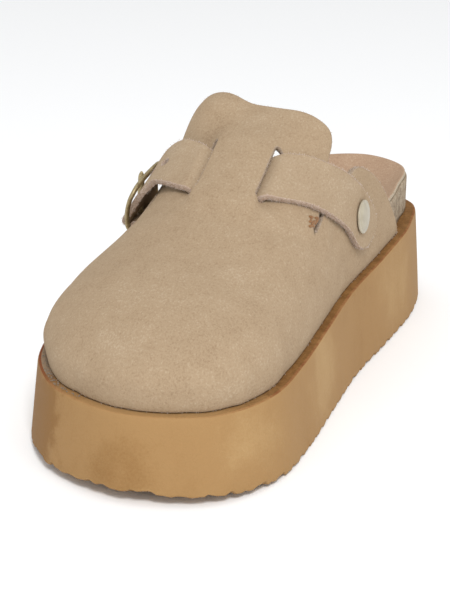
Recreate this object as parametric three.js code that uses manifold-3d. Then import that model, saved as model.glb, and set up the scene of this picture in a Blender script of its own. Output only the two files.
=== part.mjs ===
// A right platform clog in suede: a thick foam platform, a cork footbed with a suede cover, a
// one-piece upper with a tongue and two wings, and one strap that dives under the instep through
// two slots, held by a rivet on the inner side and a buckle on the outer side.
// Millimetres, +Z up. The toe points to -Y and the big-toe side is +X. The group is centred on
// the sole, which stands on Z = 0.
import * as THREE from 'three';
import { mergeVertices } from 'three/addons/utils/BufferGeometryUtils.js';
import Module from 'manifold-3d';

const wasm = await Module();
wasm.setup();

// Platform
const SOLE_LENGTH = 262;
const BALL_WIDTH = 103;
const HEEL_HEIGHT = 41.7;
const TOE_HEIGHT = 30;
const SIDE_FLARE = 3.1;
const TOE_SPRING = 4;
const LEDGE_WIDTH = 3.4;
const EDGE_CHAMFER = 0.8;
const LUG_PITCH = 9;
const LUG_GROOVE = 3;
const LUG_DEPTH = 1.6;

// Footbed and its cover
const RIM_HEIGHT = 16.5;
const SEAT_HEIGHT = 9;
const CUP_WIDTH = 22;
const HEEL_REVEAL = 0.8;
const COVER_THICKNESS = 1.4;

// Upper
const INSTEP_RISE = 68;
const UPPER_WALL = 2.2;
const SIDE_WALL_RISE = 8;
const SIDE_LEAN = 1;
const SLOT_SPACING = 22.4;
const SLOT_OFFSET = 1.4;
const SLOT_TILT = 0.064;
const SLOT_LENGTH = 26.5;
const SLOT_WIDTH = 0.8;
const SLOT_RAMP = 6;
const SLOT_HOLE = 1.4;
const SLIT_WIDTH = 0.8;
const CENTRE_LIFT = 2;
const TONGUE_LIFT = 6.5;
const TONGUE_WIDTH = 62.5;

// Strap and its rivet
const STRAP_WIDTH = 20.5;
const STRAP_MIDDLE_WIDTH = 24.3;
const STRAP_THICKNESS = 2.4;
const STRAP_END = 13.5;
const STRAP_END_SLANT = 0.35;
const STRAP_HOLE = 1.6;
const STRAP_HOLE_PITCH = 8;
const RIVET_DIAMETER = 13;
const RIVET_DOME = 1.8;
const RIVET_SHANK = 2.6;
const RIVET_HEAD = 0.8;

// Buckle: its frame, its prong and the tab that holds it
const FRAME_BAR = 2.2;
const FRAME_THICKNESS = 1.6;
const FRAME_ROOM = 1.2;
const FRAME_BOW = 0.8;
const FRAME_CORNER = 4;
const FRAME_CLEARANCE = 2.1;
const HINGE_CLEARANCE = 0.35;
const PRONG_WIDTH = 2.6;
const PRONG_THICKNESS = 1.6;
const TAB_WIDTH = 15;
const TAB_THICKNESS = 0.9;
const TAB_RIVET_DIAMETER = 8;
const TAB_RIVET_DOME = 1;

// Pieces that lie on each other stay this far apart
const GAP = 0.3;

// The sole's outline, from toe to heel: along is a share of the sole's length, and the big-toe
// side and the outer side are shares of the width at the ball.
const OUTLINE = [
  { along: 0, inner: 0.043, outer: 0.043 },
  { along: 0.034, inner: 0.305, outer: -0.236 },
  { along: 0.083, inner: 0.403, outer: -0.375 },
  { along: 0.152, inner: 0.455, outer: -0.484 },
  { along: 0.259, inner: 0.445, outer: -0.551 },
  { along: 0.392, inner: 0.408, outer: -0.518 },
  { along: 0.533, inner: 0.371, outer: -0.461 },
  { along: 0.693, inner: 0.364, outer: -0.405 },
  { along: 0.849, inner: 0.339, outer: -0.366 },
  { along: 0.956, inner: 0.251, outer: -0.261 },
  { along: 1, inner: 0, outer: 0 },
];

// How the platform's top climbs: a share of the difference between heel and toe height.
const PLATFORM_CLIMB = [
  { along: 0, climb: 0 },
  { along: 0.3, climb: 0.09 },
  { along: 0.61, climb: 0.43 },
  { along: 1, climb: 1 },
];

// The footbed: its rim on each side as a share of the rim's height, its seat as a share of the
// seat's height, all above the platform.
const FOOTBED = [
  { along: 0, inner: 0.5, outer: 0.5, seat: 0.8 },
  { along: 0.25, inner: 0.5, outer: 0.5, seat: 0.75 },
  { along: 0.42, inner: 0.62, outer: 0.5, seat: 0.95 },
  { along: 0.56, inner: 0.88, outer: 0.58, seat: 1.15 },
  { along: 0.7, inner: 0.88, outer: 0.78, seat: 1.05 },
  { along: 0.85, inner: 0.9, outer: 0.88, seat: 0.92 },
  { along: 1, inner: 1, outer: 1, seat: 0.9 },
];

// The upper's ridge above the platform as a share of the instep's rise, and how full the section
// is on each side: 2 is an ellipse, and more is boxier.
const LAST = [
  { along: 0, rise: 0.34, innerFull: 2.2, outerFull: 2 },
  { along: 0.076, rise: 0.4, innerFull: 2.2, outerFull: 2 },
  { along: 0.152, rise: 0.46, innerFull: 2.2, outerFull: 1.85 },
  { along: 0.228, rise: 0.53, innerFull: 2.15, outerFull: 1.75 },
  { along: 0.305, rise: 0.625, innerFull: 2.1, outerFull: 1.7 },
  { along: 0.381, rise: 0.74, innerFull: 2.1, outerFull: 1.75 },
  { along: 0.457, rise: 0.875, innerFull: 2.25, outerFull: 2.1 },
  { along: 0.533, rise: 0.985, innerFull: 2.8, outerFull: 2.8 },
  { along: 0.609, rise: 1.05, innerFull: 3, outerFull: 3.1 },
  { along: 0.72, rise: 1.1, innerFull: 2.7, outerFull: 2.7 },
  { along: 0.9, rise: 1.12, innerFull: 2.5, outerFull: 2.5 },
];

// The ridge's place across, as a share of the ball's width, and the point on it from which the
// sections fan out round the toe.
const RIDGE = -0.027;
const TOE_PIVOT = 0.18;

// The wings' top edge, from the slit to the ledge: a share of the sole's length and of the
// instep's rise.
const WING_EDGE = [
  { along: 0.42, rise: 0.6 },
  { along: 0.5, rise: 0.625 },
  { along: 0.551, rise: 0.645 },
  { along: 0.59, rise: 0.655 },
  { along: 0.635, rise: 0.58 },
  { along: 0.677, rise: 0.469 },
  { along: 0.716, rise: 0.336 },
  { along: 0.75, rise: 0.2 },
  { along: 0.784, rise: 0.05 },
  { along: 0.8, rise: -0.02 },
];

// The tongue's outline on the instep, seen square on: across from the ridge as a share of the
// tongue's width, and up from the slots' middle in slot lengths.
const TONGUE_EDGE = [
  { across: 0.52, up: -0.31 },
  { across: 0.5, up: 0.17 },
  { across: 0.472, up: 0.75 },
  { across: 0.442, up: 1.16 },
  { across: 0.39, up: 1.39 },
  { across: 0.31, up: 1.46 },
  { across: 0.2, up: 1.48 },
  { across: 0.06, up: 1.47 },
  { across: -0.12, up: 1.51 },
  { across: -0.28, up: 1.59 },
  { across: -0.43, up: 1.48 },
  { across: -0.49, up: 1.15 },
  { across: -0.508, up: 0.7 },
  { across: -0.5, up: 0.17 },
  { across: -0.5, up: -0.48 },
];

// Where the strap's middle runs: around is a share of the section's girth from ridge to ledge,
// and along, on each side, is a share of the sole's length.
const STRAP_ROUTE = [
  { around: 0, inner: 0.396, outer: 0.396 },
  { around: 0.1, inner: 0.399, outer: 0.399 },
  { around: 0.18, inner: 0.407, outer: 0.407 },
  { around: 0.27, inner: 0.4225, outer: 0.4225 },
  { around: 0.37, inner: 0.45, outer: 0.4425 },
  { around: 0.48, inner: 0.484, outer: 0.452 },
  { around: 0.61, inner: 0.53, outer: 0.46 },
  { around: 0.7, inner: 0.562, outer: 0.466 },
  { around: 0.88, inner: 0.622, outer: 0.48 },
];
const SLOTS_ALONG = 0.41;
const RIVET_AROUND = 0.695;
const OUTER_BAR_AROUND = -0.5;
const HINGE_AROUND = -0.71;
const TAB_RIVET_AROUND = -0.82;
const TAB_END_AROUND = -0.9;
const STRAP_TIP_AROUND = -0.755;

// Reads a table as a smooth curve through its rows, which go from the smallest value to the largest.
function readTable(rows, column, along, key = 'along') {
  const last = rows.length - 1;
  const x = THREE.MathUtils.clamp(along, rows[0][key], rows[last][key]);
  let i = 0;
  while (i < last - 1 && x > rows[i + 1][key]) i += 1;
  const slope = (j) => {
    const a = rows[Math.max(j - 1, 0)];
    const b = rows[Math.min(j + 1, last)];
    return (b[column] - a[column]) / (b[key] - a[key]);
  };
  const span = rows[i + 1][key] - rows[i][key];
  const t = (x - rows[i][key]) / span;
  return (
    (2 * t ** 3 - 3 * t ** 2 + 1) * rows[i][column] +
    (t ** 3 - 2 * t ** 2 + t) * span * slope(i) +
    (3 * t ** 2 - 2 * t ** 3) * rows[i + 1][column] +
    (t ** 3 - t ** 2) * span * slope(i + 1)
  );
}

const { lerp, smoothstep } = THREE.MathUtils;
const yOf = (along) => (along - 0.5) * SOLE_LENGTH;
const alongOf = (y) => y / SOLE_LENGTH + 0.5;
const platformTop = (y) =>
  lerp(TOE_HEIGHT, HEEL_HEIGHT, readTable(PLATFORM_CLIMB, 'climb', alongOf(y)));

// The outline as one closed curve: heel, big-toe side, toe, outer side.
const outlineCurve = new THREE.CatmullRomCurve3(
  [
    ...OUTLINE.slice(1).reverse().map((row) => [row.along, row.inner]),
    ...OUTLINE.slice(0, -1).map((row) => [row.along, row.outer]),
  ].map(([along, across]) => new THREE.Vector3(across * BALL_WIDTH, yOf(along), 0)),
  true,
  'centripetal',
);

// A point on the outline moved inwards. t is 0 at the heel, and half way round is the toe.
function outlinePoint(t, inset) {
  const point = outlineCurve.getPoint(t);
  const tangent = outlineCurve.getTangent(t);
  return new THREE.Vector3(point.x - tangent.y * -inset, point.y + tangent.x * -inset, 0);
}

// Turns a list of corners and faces into a solid; corners that coincide are joined.
function solid(corners, faces) {
  const geometry = new THREE.BufferGeometry().setFromPoints(corners);
  geometry.setIndex(faces.flat());
  const merged = mergeVertices(geometry, 1e-3);
  const index = merged.index.array;
  const kept = [];
  for (let i = 0; i < index.length; i += 3) {
    const [a, b, c] = index.slice(i, i + 3);
    if (a !== b && b !== c && c !== a) kept.push(a, b, c);
  }
  const made = new wasm.Manifold(
    new wasm.Mesh({
      numProp: 3,
      vertProperties: merged.attributes.position.array,
      triVerts: new Uint32Array(kept),
    }),
  );
  if (made.volume() > 0) return made;
  for (let i = 0; i < kept.length; i += 3) [kept[i], kept[i + 1]] = [kept[i + 1], kept[i]];
  return new wasm.Manifold(
    new wasm.Mesh({
      numProp: 3,
      vertProperties: merged.attributes.position.array,
      triVerts: new Uint32Array(kept),
    }),
  );
}

function geometryOf(made) {
  const mesh = made.getMesh();
  const corners = [];
  for (let i = 0; i < mesh.numVert; i += 1) {
    corners.push(new THREE.Vector3().fromArray(mesh.vertProperties, i * mesh.numProp));
  }
  const geometry = new THREE.BufferGeometry().setFromPoints(corners);
  geometry.setIndex(Array.from(mesh.triVerts));
  return geometry;
}

// A closed three.js shape as a solid.
function solidOfGeometry(geometry) {
  const bare = geometry.index ? geometry.toNonIndexed() : geometry;
  const position = bare.getAttribute('position');
  const corners = [];
  const faces = [];
  for (let i = 0; i < position.count; i += 1) {
    corners.push(new THREE.Vector3().fromBufferAttribute(position, i));
    if (i % 3 === 2) faces.push([i - 2, i - 1, i]);
  }
  return solid(corners, faces);
}

// A solid skinned over rings that share the outline's stations, closed by straight rungs from
// side to side at its first and last ring. Each ring is an inset and a height at a point.
const RUNGS = 30;
function ringSolid(rings) {
  const count = RUNGS * 2;
  const corners = rings.flatMap(({ inset, height }) =>
    Array.from({ length: count }, (_, i) => {
      const t = i / count;
      const point = outlinePoint(t, typeof inset === 'function' ? inset(t) : inset);
      return point.setZ(height(point.y, t));
    }),
  );
  const faces = [];
  for (let ring = 0; ring + 1 < rings.length; ring += 1) {
    for (let i = 0; i < count; i += 1) {
      const a = ring * count + i;
      const b = ring * count + ((i + 1) % count);
      faces.push([a, b, b + count], [a, b + count, a + count]);
    }
  }
  const top = (rings.length - 1) * count;
  for (let k = 0; k < RUNGS; k += 1) {
    const [a, b] = [k, k + 1];
    const [c, d] = [(count - k) % count, count - k - 1];
    faces.push([a, c, d], [a, d, b]);
    faces.push([top + a, top + d, top + c], [top + a, top + b, top + d]);
  }
  return solid(corners, faces);
}

// A sheet with thickness: place(i, j, side) gives the corner of its outer and inner face.
function sheetSolid(columns, rows, place, openLastRow = false) {
  const corners = [];
  const at = (i, j, side) => (side * (columns + 1) + i) * (rows + 1) + j;
  for (const side of [0, 1]) {
    for (let i = 0; i <= columns; i += 1) {
      for (let j = 0; j <= rows; j += 1) corners.push(place(i, j, side));
    }
  }
  const faces = [];
  const quad = (a, b, c, d) => faces.push([a, b, c], [a, c, d]);
  for (let i = 0; i < columns; i += 1) {
    for (let j = 0; j < rows; j += 1) {
      quad(at(i, j, 0), at(i + 1, j, 0), at(i + 1, j + 1, 0), at(i, j + 1, 0));
      quad(at(i, j, 1), at(i, j + 1, 1), at(i + 1, j + 1, 1), at(i + 1, j, 1));
    }
    quad(at(i, 0, 0), at(i, 0, 1), at(i + 1, 0, 1), at(i + 1, 0, 0));
    if (!openLastRow) {
      quad(at(i, rows, 0), at(i + 1, rows, 0), at(i + 1, rows, 1), at(i, rows, 1));
    }
  }
  for (let j = 0; j < rows; j += 1) {
    quad(at(0, j, 0), at(0, j + 1, 0), at(0, j + 1, 1), at(0, j, 1));
    quad(at(columns, j, 0), at(columns, j, 1), at(columns, j + 1, 1), at(columns, j + 1, 0));
  }
  return solid(corners, faces);
}

// Platform: flared sides, a small bevel at the top edge, and transverse grooves underneath.
const springStart = yOf(0.26);
const soleBottom = (y) =>
  TOE_SPRING * Math.max(0, (springStart - y) / (springStart - yOf(0))) ** 2;

function platformSole() {
  const body = ringSolid([
    { inset: EDGE_CHAMFER, height: soleBottom },
    { inset: 0, height: (y) => soleBottom(y) + EDGE_CHAMFER },
    {
      inset: SIDE_FLARE * 0.42,
      height: (y) => lerp(soleBottom(y), platformTop(y), 0.5),
    },
    { inset: SIDE_FLARE, height: (y) => platformTop(y) - EDGE_CHAMFER },
    { inset: SIDE_FLARE + EDGE_CHAMFER, height: platformTop },
  ]);
  const grooves = [];
  const count = Math.floor(SOLE_LENGTH / LUG_PITCH) - 1;
  for (let i = 0; i < count; i += 1) {
    const y = (i - (count - 1) / 2) * LUG_PITCH;
    const floor = soleBottom(y);
    const groove = new THREE.Shape([
      new THREE.Vector2(-LUG_GROOVE * 0.5, -TOE_SPRING),
      new THREE.Vector2(LUG_GROOVE * 0.5, -TOE_SPRING),
      new THREE.Vector2(LUG_GROOVE * 0.5, floor),
      new THREE.Vector2(LUG_GROOVE * 0.25, floor + LUG_DEPTH),
      new THREE.Vector2(-LUG_GROOVE * 0.25, floor + LUG_DEPTH),
      new THREE.Vector2(-LUG_GROOVE * 0.5, floor),
    ]);
    const bar = new THREE.ExtrudeGeometry(groove, {
      depth: BALL_WIDTH * 2,
      bevelEnabled: false,
      steps: 1,
    });
    bar.applyMatrix4(
      new THREE.Matrix4().makeBasis(
        new THREE.Vector3(0, 1, 0),
        new THREE.Vector3(0, 0, 1),
        new THREE.Vector3(1, 0, 0),
      ),
    );
    bar.translate(-BALL_WIDTH, y, 0);
    grooves.push(solidOfGeometry(bar));
  }
  return grooves.reduce((made, groove) => made.subtract(groove), body);
}

// Footbed: straight cork side, rounded rim and a cupped top. Behind the wings its side steps out
// to be flush with the upper.
const upperInset = SIDE_FLARE + LEDGE_WIDTH;
const corkInset = upperInset + UPPER_WALL + GAP;
const corkStep = UPPER_WALL - HEEL_REVEAL;
function footbedInset(t) {
  const along = alongOf(outlineCurve.getPoint(t).y);
  return corkInset - corkStep * smoothstep(along, 0.85, 0.92);
}

const CUP_RINGS = [0.15, 0.35, 0.6, 1];
function rimHeight(y, t) {
  const along = alongOf(y);
  const inner = readTable(FOOTBED, 'inner', along);
  const outer = readTable(FOOTBED, 'outer', along);
  const side = 0.5 - 0.5 * Math.cos(2 * Math.PI * t + Math.PI / 2);
  return platformTop(y) + RIM_HEIGHT * lerp(inner, outer, side);
}
const seatHeight = (y) => platformTop(y) + SEAT_HEIGHT * readTable(FOOTBED, 'seat', alongOf(y));
const cupHeight = (share) => (y, t) =>
  lerp(seatHeight(y), rimHeight(y, t), (1 - share) ** 2);

function footbed() {
  return ringSolid([
    { inset: footbedInset, height: (y) => platformTop(y) + GAP },
    { inset: footbedInset, height: (y, t) => rimHeight(y, t) - EDGE_CHAMFER },
    { inset: (t) => footbedInset(t) + EDGE_CHAMFER, height: rimHeight },
    ...CUP_RINGS.map((share) => ({
      inset: (t) => footbedInset(t) + EDGE_CHAMFER + CUP_WIDTH * share,
      height: cupHeight(share),
    })),
  ]);
}

function footbedCover() {
  const ring = (extra, share, lift) => ({
    inset: (t) => footbedInset(t) + EDGE_CHAMFER + extra + CUP_WIDTH * share,
    height: (y, t) => cupHeight(share)(y, t) + lift,
  });
  const thick = GAP + COVER_THICKNESS;
  return ringSolid([
    ...CUP_RINGS.slice().reverse().map((share) => ring(0, share, GAP)),
    ring(0, 0, GAP),
    ring(0, 0, thick * 0.7),
    ring(EDGE_CHAMFER, 0, thick),
    ...CUP_RINGS.map((share) => ring(EDGE_CHAMFER * (1 - share), share, thick)),
  ]);
}

// The upper's outer face. A section runs from a base point on the ledge up to the ridge: a side
// wall, then an arch. Behind the toe pivot it lies square across; in front it fans round it.
const ridgeX = RIDGE * BALL_WIDTH;
const pivotY = yOf(TOE_PIVOT);
const ridgeHeight = (y) => platformTop(y) + INSTEP_RISE * readTable(LAST, 'rise', alongOf(y));
const WALL_SHARE = 0.22;

function sectionPoint(base, up) {
  const centre = new THREE.Vector3(ridgeX, Math.max(base.y, pivotY), 0);
  const out = base.clone().sub(centre);
  const reach = out.length();
  const wallShare = Math.min(up / WALL_SHARE, 1);
  const turn = Math.max(0, (up - WALL_SHARE) / (1 - WALL_SHARE)) * (Math.PI / 2);
  const along = alongOf(Math.max(base.y, pivotY));
  const full = lerp(
    readTable(LAST, 'outerFull', along),
    readTable(LAST, 'innerFull', along),
    (1 + out.x / reach) / 2,
  );
  const ease = Math.sin((wallShare * Math.PI) / 2);
  const across = (1 + (SIDE_LEAN * ease) / reach) * Math.max(0, Math.cos(turn)) ** (2 / full);
  const point = centre.clone().addScaledVector(out, up >= 1 ? 0 : across);
  const foot = platformTop(base.y) + GAP;
  const rise = ridgeHeight(point.y) - foot;
  const wall = Math.min(SIDE_WALL_RISE, rise * 0.4);
  point.z = foot + wall * wallShare + (rise - wall) * Math.sin(turn) ** (2 / full);
  return point;
}

// Base points of the upper: t on the outline's curve.
const basePoint = (t) => outlinePoint(t, upperInset);
function curveParameter(y, side) {
  let [low, high] = [0.001, 0.499];
  for (let i = 0; i < 40; i += 1) {
    const middle = (low + high) / 2;
    if (basePoint(side > 0 ? middle : 1 - middle).y > y) low = middle;
    else high = middle;
  }
  return side > 0 ? low : 1 - low;
}

// One half section behind the pivot, as points from the ridge down to the ledge with the way
// gone at each.
const SECTION_STEPS = 40;
function halfSection(y, side) {
  const base = basePoint(curveParameter(y, side));
  base.y = y;
  const points = [];
  let gone = 0;
  for (let i = 0; i <= SECTION_STEPS; i += 1) {
    const point = sectionPoint(base, 1 - i / SECTION_STEPS);
    if (i) gone += point.distanceTo(points[i - 1].point);
    points.push({ point, gone });
  }
  return points;
}

// The outward normal at a point of a half section, from its neighbours along and around.
function sectionNormal(y, side, place) {
  const step = 0.5;
  const at = (yy, offset) => pointOnSection(halfSection(yy, side), place + offset);
  const around = at(y, step).sub(at(y, -step));
  const along = at(y + step, 0).sub(at(y - step, 0));
  const normal = around.cross(along).normalize();
  if (normal.z < 0 && Math.abs(normal.z) > 0.2) normal.negate();
  else if (Math.abs(normal.z) <= 0.2 && normal.x * side < 0) normal.negate();
  return normal;
}

function pointOnSection(section, gone) {
  const total = section[section.length - 1].gone;
  if (gone < 0) {
    const mirrored = pointOnSection(section, -gone);
    return mirrored.setX(2 * ridgeX - mirrored.x);
  }
  const wanted = Math.min(gone, total);
  let i = 0;
  while (i < section.length - 2 && section[i + 1].gone < wanted) i += 1;
  const span = section[i + 1].gone - section[i].gone;
  return section[i].point.clone().lerp(section[i + 1].point, (wanted - section[i].gone) / span);
}

// The way along a half section to the point nearest to a given one.
function nearestOnSection(section, target) {
  let best = { gone: 0, distance: Infinity };
  for (let i = 0; i + 1 < section.length; i += 1) {
    const [a, b] = [section[i], section[i + 1]];
    const line = new THREE.Line3(a.point, b.point);
    const share = line.closestPointToPointParameter(target, true);
    const distance = line.at(share, new THREE.Vector3()).distanceTo(target);
    if (distance < best.distance) best = { gone: lerp(a.gone, b.gone, share), distance };
  }
  return best.gone;
}

// The instep's plane, square to which the slots, slits and tongue are cut.
const instepY = yOf(SLOTS_ALONG);
const instepSlope = Math.atan2(
  ridgeHeight(instepY + SLOT_LENGTH) - ridgeHeight(instepY - SLOT_LENGTH / 2),
  SLOT_LENGTH * 1.5,
);
const instepFrame = new THREE.Matrix4()
  .makeRotationX(instepSlope)
  .setPosition(ridgeX, instepY, ridgeHeight(instepY));

// A flat outline on the instep's plane, driven through the upper.
const CUT_DEPTH = INSTEP_RISE;
function instepPrism(outline, below = CUT_DEPTH, above = CUT_DEPTH) {
  const shape = new THREE.Shape(outline.map(([x, y]) => new THREE.Vector2(x, y)));
  const prism = new THREE.ExtrudeGeometry(shape, {
    depth: below + above,
    bevelEnabled: false,
    steps: 1,
  });
  prism.translate(0, 0, -below);
  prism.applyMatrix4(instepFrame);
  return solidOfGeometry(prism);
}

// A slot lies this far from the ridge at its middle, on either side.
const slotAcross = (side) => SLOT_SPACING / 2 + side * SLOT_OFFSET;
const slotLine = new THREE.Vector3()
  .setFromMatrixColumn(instepFrame, 1)
  .setX(-SLOT_TILT)
  .normalize();

// The strip between the slots is lifted by the strap that runs under it.
function centreLift(point) {
  const along = (point.y - instepY) / Math.cos(instepSlope);
  const across = Math.abs(point.x - ridgeX - SLOT_OFFSET + SLOT_TILT * along);
  const overStrap = 1 - smoothstep(across - SLOT_SPACING / 2, SLOT_RAMP * 0.4, SLOT_RAMP * 0.8);
  const nearStrap = 1 - smoothstep(Math.abs(along), SLOT_LENGTH * 0.7, SLOT_LENGTH * 1.15);
  return CENTRE_LIFT * overStrap * nearStrap;
}

// The tongue's outer corner curls up.
function tongueLift(point) {
  const across = (ridgeX - point.x) / TONGUE_WIDTH;
  const along = (point.y - instepY) / Math.cos(instepSlope) / SLOT_LENGTH;
  const corner = Math.exp(-(((across - 0.35) / 0.18) ** 2));
  return TONGUE_LIFT * corner * smoothstep(along, 0.6, 1.5);
}

const REAR_STATIONS = 24;
const TOE_STATIONS = 24;
const SECTION_CUTS = [0, 0.1, 0.22, 0.31, 0.4, 0.49, 0.58, 0.67, 0.76, 0.84, 0.92, 1];

function upperShell() {
  const rearEnd = yOf(WING_EDGE[WING_EDGE.length - 1].along) + 2 * UPPER_WALL;
  const rear = Array.from({ length: REAR_STATIONS }, (_, i) =>
    lerp(rearEnd, pivotY, i / REAR_STATIONS),
  );
  const [toeFrom, toeTo] = [curveParameter(pivotY, 1), curveParameter(pivotY, -1)];
  const bases = [
    ...rear.map((y) => basePoint(curveParameter(y, 1)).setY(y)),
    ...Array.from({ length: TOE_STATIONS + 1 }, (_, i) =>
      basePoint(lerp(toeFrom, toeTo, i / TOE_STATIONS)),
    ),
    ...rear.slice().reverse().map((y) => basePoint(curveParameter(y, -1)).setY(y)),
  ];
  const last = SECTION_CUTS.length - 1;
  const outer = bases.map((base) => SECTION_CUTS.map((up) => sectionPoint(base, up)));
  const ridgeNormal = (y) =>
    new THREE.Vector3(0, ridgeHeight(y - 0.5) - ridgeHeight(y + 0.5), 1).normalize();
  const normalAt = (i, j) => {
    if (j === last) return ridgeNormal(outer[i][j].y);
    const before = outer[Math.max(i - 1, 0)][j];
    const after = outer[Math.min(i + 1, bases.length - 1)][j];
    const down = outer[i][Math.max(j - 1, 0)];
    const up = outer[i][j + 1];
    const normal = up.clone().sub(down).cross(after.clone().sub(before)).normalize();
    if (j === 0) normal.setZ(0).normalize();
    return normal;
  };
  const sample = normalAt(2, 2);
  const sign = sample.x > 0 ? 1 : -1;
  const place = (i, j, side) => {
    const normal = normalAt(i, j);
    if (j !== last) normal.multiplyScalar(sign);
    const lift = centreLift(outer[i][j]) + tongueLift(outer[i][j]);
    return outer[i][j].clone().addScaledVector(normal, lift - side * UPPER_WALL);
  };
  return sheetSolid(bases.length - 1, last, place, true);
}

// What is kept of the instep: the tongue, and all in front of the slits' lower ends.
const tongueOutline = TONGUE_EDGE.map(({ across, up }) => [across * TONGUE_WIDTH, up * SLOT_LENGTH]);
function tonguePrism() {
  const lowInner = TONGUE_EDGE[0].up * SLOT_LENGTH;
  const lowOuter = TONGUE_EDGE[TONGUE_EDGE.length - 1].up * SLOT_LENGTH;
  const corners = tongueOutline.map(([x, y]) => new THREE.Vector2(x, y));
  const rounded = new THREE.SplineCurve(corners).getPoints(40).map((p) => [p.x, p.y]);
  return instepPrism([
    [-SOLE_LENGTH, -SOLE_LENGTH],
    [SOLE_LENGTH, -SOLE_LENGTH],
    [SOLE_LENGTH, lowInner],
    ...rounded,
    [-SOLE_LENGTH, lowOuter],
  ]);
}

// All that lies above and behind the wings' top edge, seen from the side.
function openingPrism() {
  const steps = 24;
  const first = WING_EDGE[0].along;
  const lastAlong = WING_EDGE[WING_EDGE.length - 1].along;
  const edge = Array.from({ length: steps + 1 }, (_, i) => {
    const along = lerp(first, lastAlong, i / steps);
    const y = yOf(along);
    return new THREE.Vector2(
      y,
      platformTop(y) + INSTEP_RISE * readTable(WING_EDGE, 'rise', along),
    );
  });
  const high = HEEL_HEIGHT + INSTEP_RISE * 2;
  const shape = new THREE.Shape([
    new THREE.Vector2(edge[0].x, high),
    ...edge,
    new THREE.Vector2(edge[steps].x, 0),
    new THREE.Vector2(SOLE_LENGTH, 0),
    new THREE.Vector2(SOLE_LENGTH, high),
  ]);
  const prism = new THREE.ExtrudeGeometry(shape, {
    depth: BALL_WIDTH * 2,
    bevelEnabled: false,
    steps: 1,
  });
  prism.applyMatrix4(
    new THREE.Matrix4().makeBasis(
      new THREE.Vector3(0, 1, 0),
      new THREE.Vector3(0, 0, 1),
      new THREE.Vector3(1, 0, 0),
    ),
  );
  prism.translate(-BALL_WIDTH, 0, 0);
  return solidOfGeometry(prism);
}

// The slot beside the lifted strip, with a punched hole at each end.
function slotPrism(side) {
  const half = SLOT_LENGTH / 2;
  const near = slotAcross(side) * side;
  const far = near + SLOT_WIDTH * side;
  const drift = SLOT_TILT * half;
  const slot = instepPrism(
    [
      [near + drift, -half],
      [far + drift, -half],
      [far - drift, half],
      [near - drift, half],
    ],
    INSTEP_RISE / 2,
  );
  const hole = new THREE.CylinderGeometry(SLOT_HOLE, SLOT_HOLE, INSTEP_RISE, 10);
  hole.rotateX(Math.PI / 2);
  const holes = [-1, 1].map((end) => {
    const across = near - drift * end + SLOT_HOLE * 0.6 * side;
    const one = hole.clone().translate(across, end * half, 0);
    return solidOfGeometry(one.applyMatrix4(instepFrame));
  });
  return slot.add(holes[0]).add(holes[1]);
}

// The slit between tongue and wing: a narrow cut along the tongue's side.
function slitPrism(side) {
  const rows = TONGUE_EDGE.filter(({ across, up }) => across * side > 0 && up < 1.2);
  const line = rows
    .map(({ across, up }) => [across * TONGUE_WIDTH, up * SLOT_LENGTH])
    .sort((a, b) => a[1] - b[1]);
  const outer = line.map(([x, y]) => [x + SLIT_WIDTH * side, y]).reverse();
  return instepPrism([...line, ...outer], CUT_DEPTH, SLOT_LENGTH);
}

// The strap's underside, as a distance from the upper: under the lifted strip, on the upper on
// the big-toe side, and held off by the buckle on the outer side.
const eyeRadius = FRAME_BAR / 2 + GAP * 1.3;
const hingeLift = GAP + TAB_THICKNESS + eyeRadius + HINGE_CLEARANCE;
const overHinge = hingeLift + eyeRadius + TAB_THICKNESS + GAP + HINGE_CLEARANCE;
const tabTop = GAP + TAB_THICKNESS;
const STANDOFF = [
  { around: -0.9, lift: overHinge * 0.55 },
  { around: TAB_RIVET_AROUND, lift: overHinge * 0.68 },
  { around: HINGE_AROUND, lift: overHinge * 1.02 },
  { around: OUTER_BAR_AROUND, lift: overHinge * 0.5 },
  { around: -0.38, lift: overHinge * 0.46 },
  { around: -0.3, lift: overHinge * 0.38 },
  { around: -0.22, lift: overHinge * 0.15 },
  { around: -0.12, lift: GAP },
  { around: 1, lift: GAP },
];

function strapLift(around, gone) {
  const under = CENTRE_LIFT - UPPER_WALL - 2 * GAP - STRAP_THICKNESS;
  const slot = slotAcross(Math.sign(around));
  const rise = smoothstep(Math.abs(gone), slot + GAP, slot + SLOT_RAMP - GAP);
  return lerp(under, readTable(STANDOFF, 'lift', around, 'around'), rise);
}

// A station of the strap: its place on the upper, and its own directions.
function strapMiddle(around) {
  const side = around < 0 ? -1 : 1;
  const column = side > 0 ? 'inner' : 'outer';
  const y = yOf(readTable(STRAP_ROUTE, column, Math.abs(around), 'around'));
  const section = halfSection(y, side);
  const girth = section[section.length - 1].gone;
  const gone = Math.abs(around) * girth;
  return { around, side, y, girth, gone, point: pointOnSection(section, gone) };
}

function strapStation(around) {
  const here = strapMiddle(around);
  const along = strapMiddle(around + 0.01).point.sub(strapMiddle(around - 0.01).point).normalize();
  const normal = sectionNormal(here.y, here.side, here.gone);
  const across = new THREE.Vector3().crossVectors(normal, along).normalize();
  // Beside a slot the strap's cross lines run along the slot; further out they turn square.
  const slot = slotAcross(here.side);
  const turned = 1 - smoothstep(here.gone, slot + SLOT_RAMP, slot + SLOT_RAMP * 4);
  const skew = (turned * slotLine.dot(along)) / slotLine.dot(across);
  return { ...here, along, normal, across, skew };
}

// A point of a band laid over the upper: across and along it from a station, and away from the
// upper.
function bandPoint(station, across, along, lift) {
  const target = station.point
    .clone()
    .addScaledVector(station.across, across)
    .addScaledVector(station.along, along);
  const section = halfSection(target.y, station.side);
  const gone = nearestOnSection(section, target);
  const normal = sectionNormal(target.y, station.side, gone);
  return pointOnSection(section, gone).addScaledVector(normal, lift);
}

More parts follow.
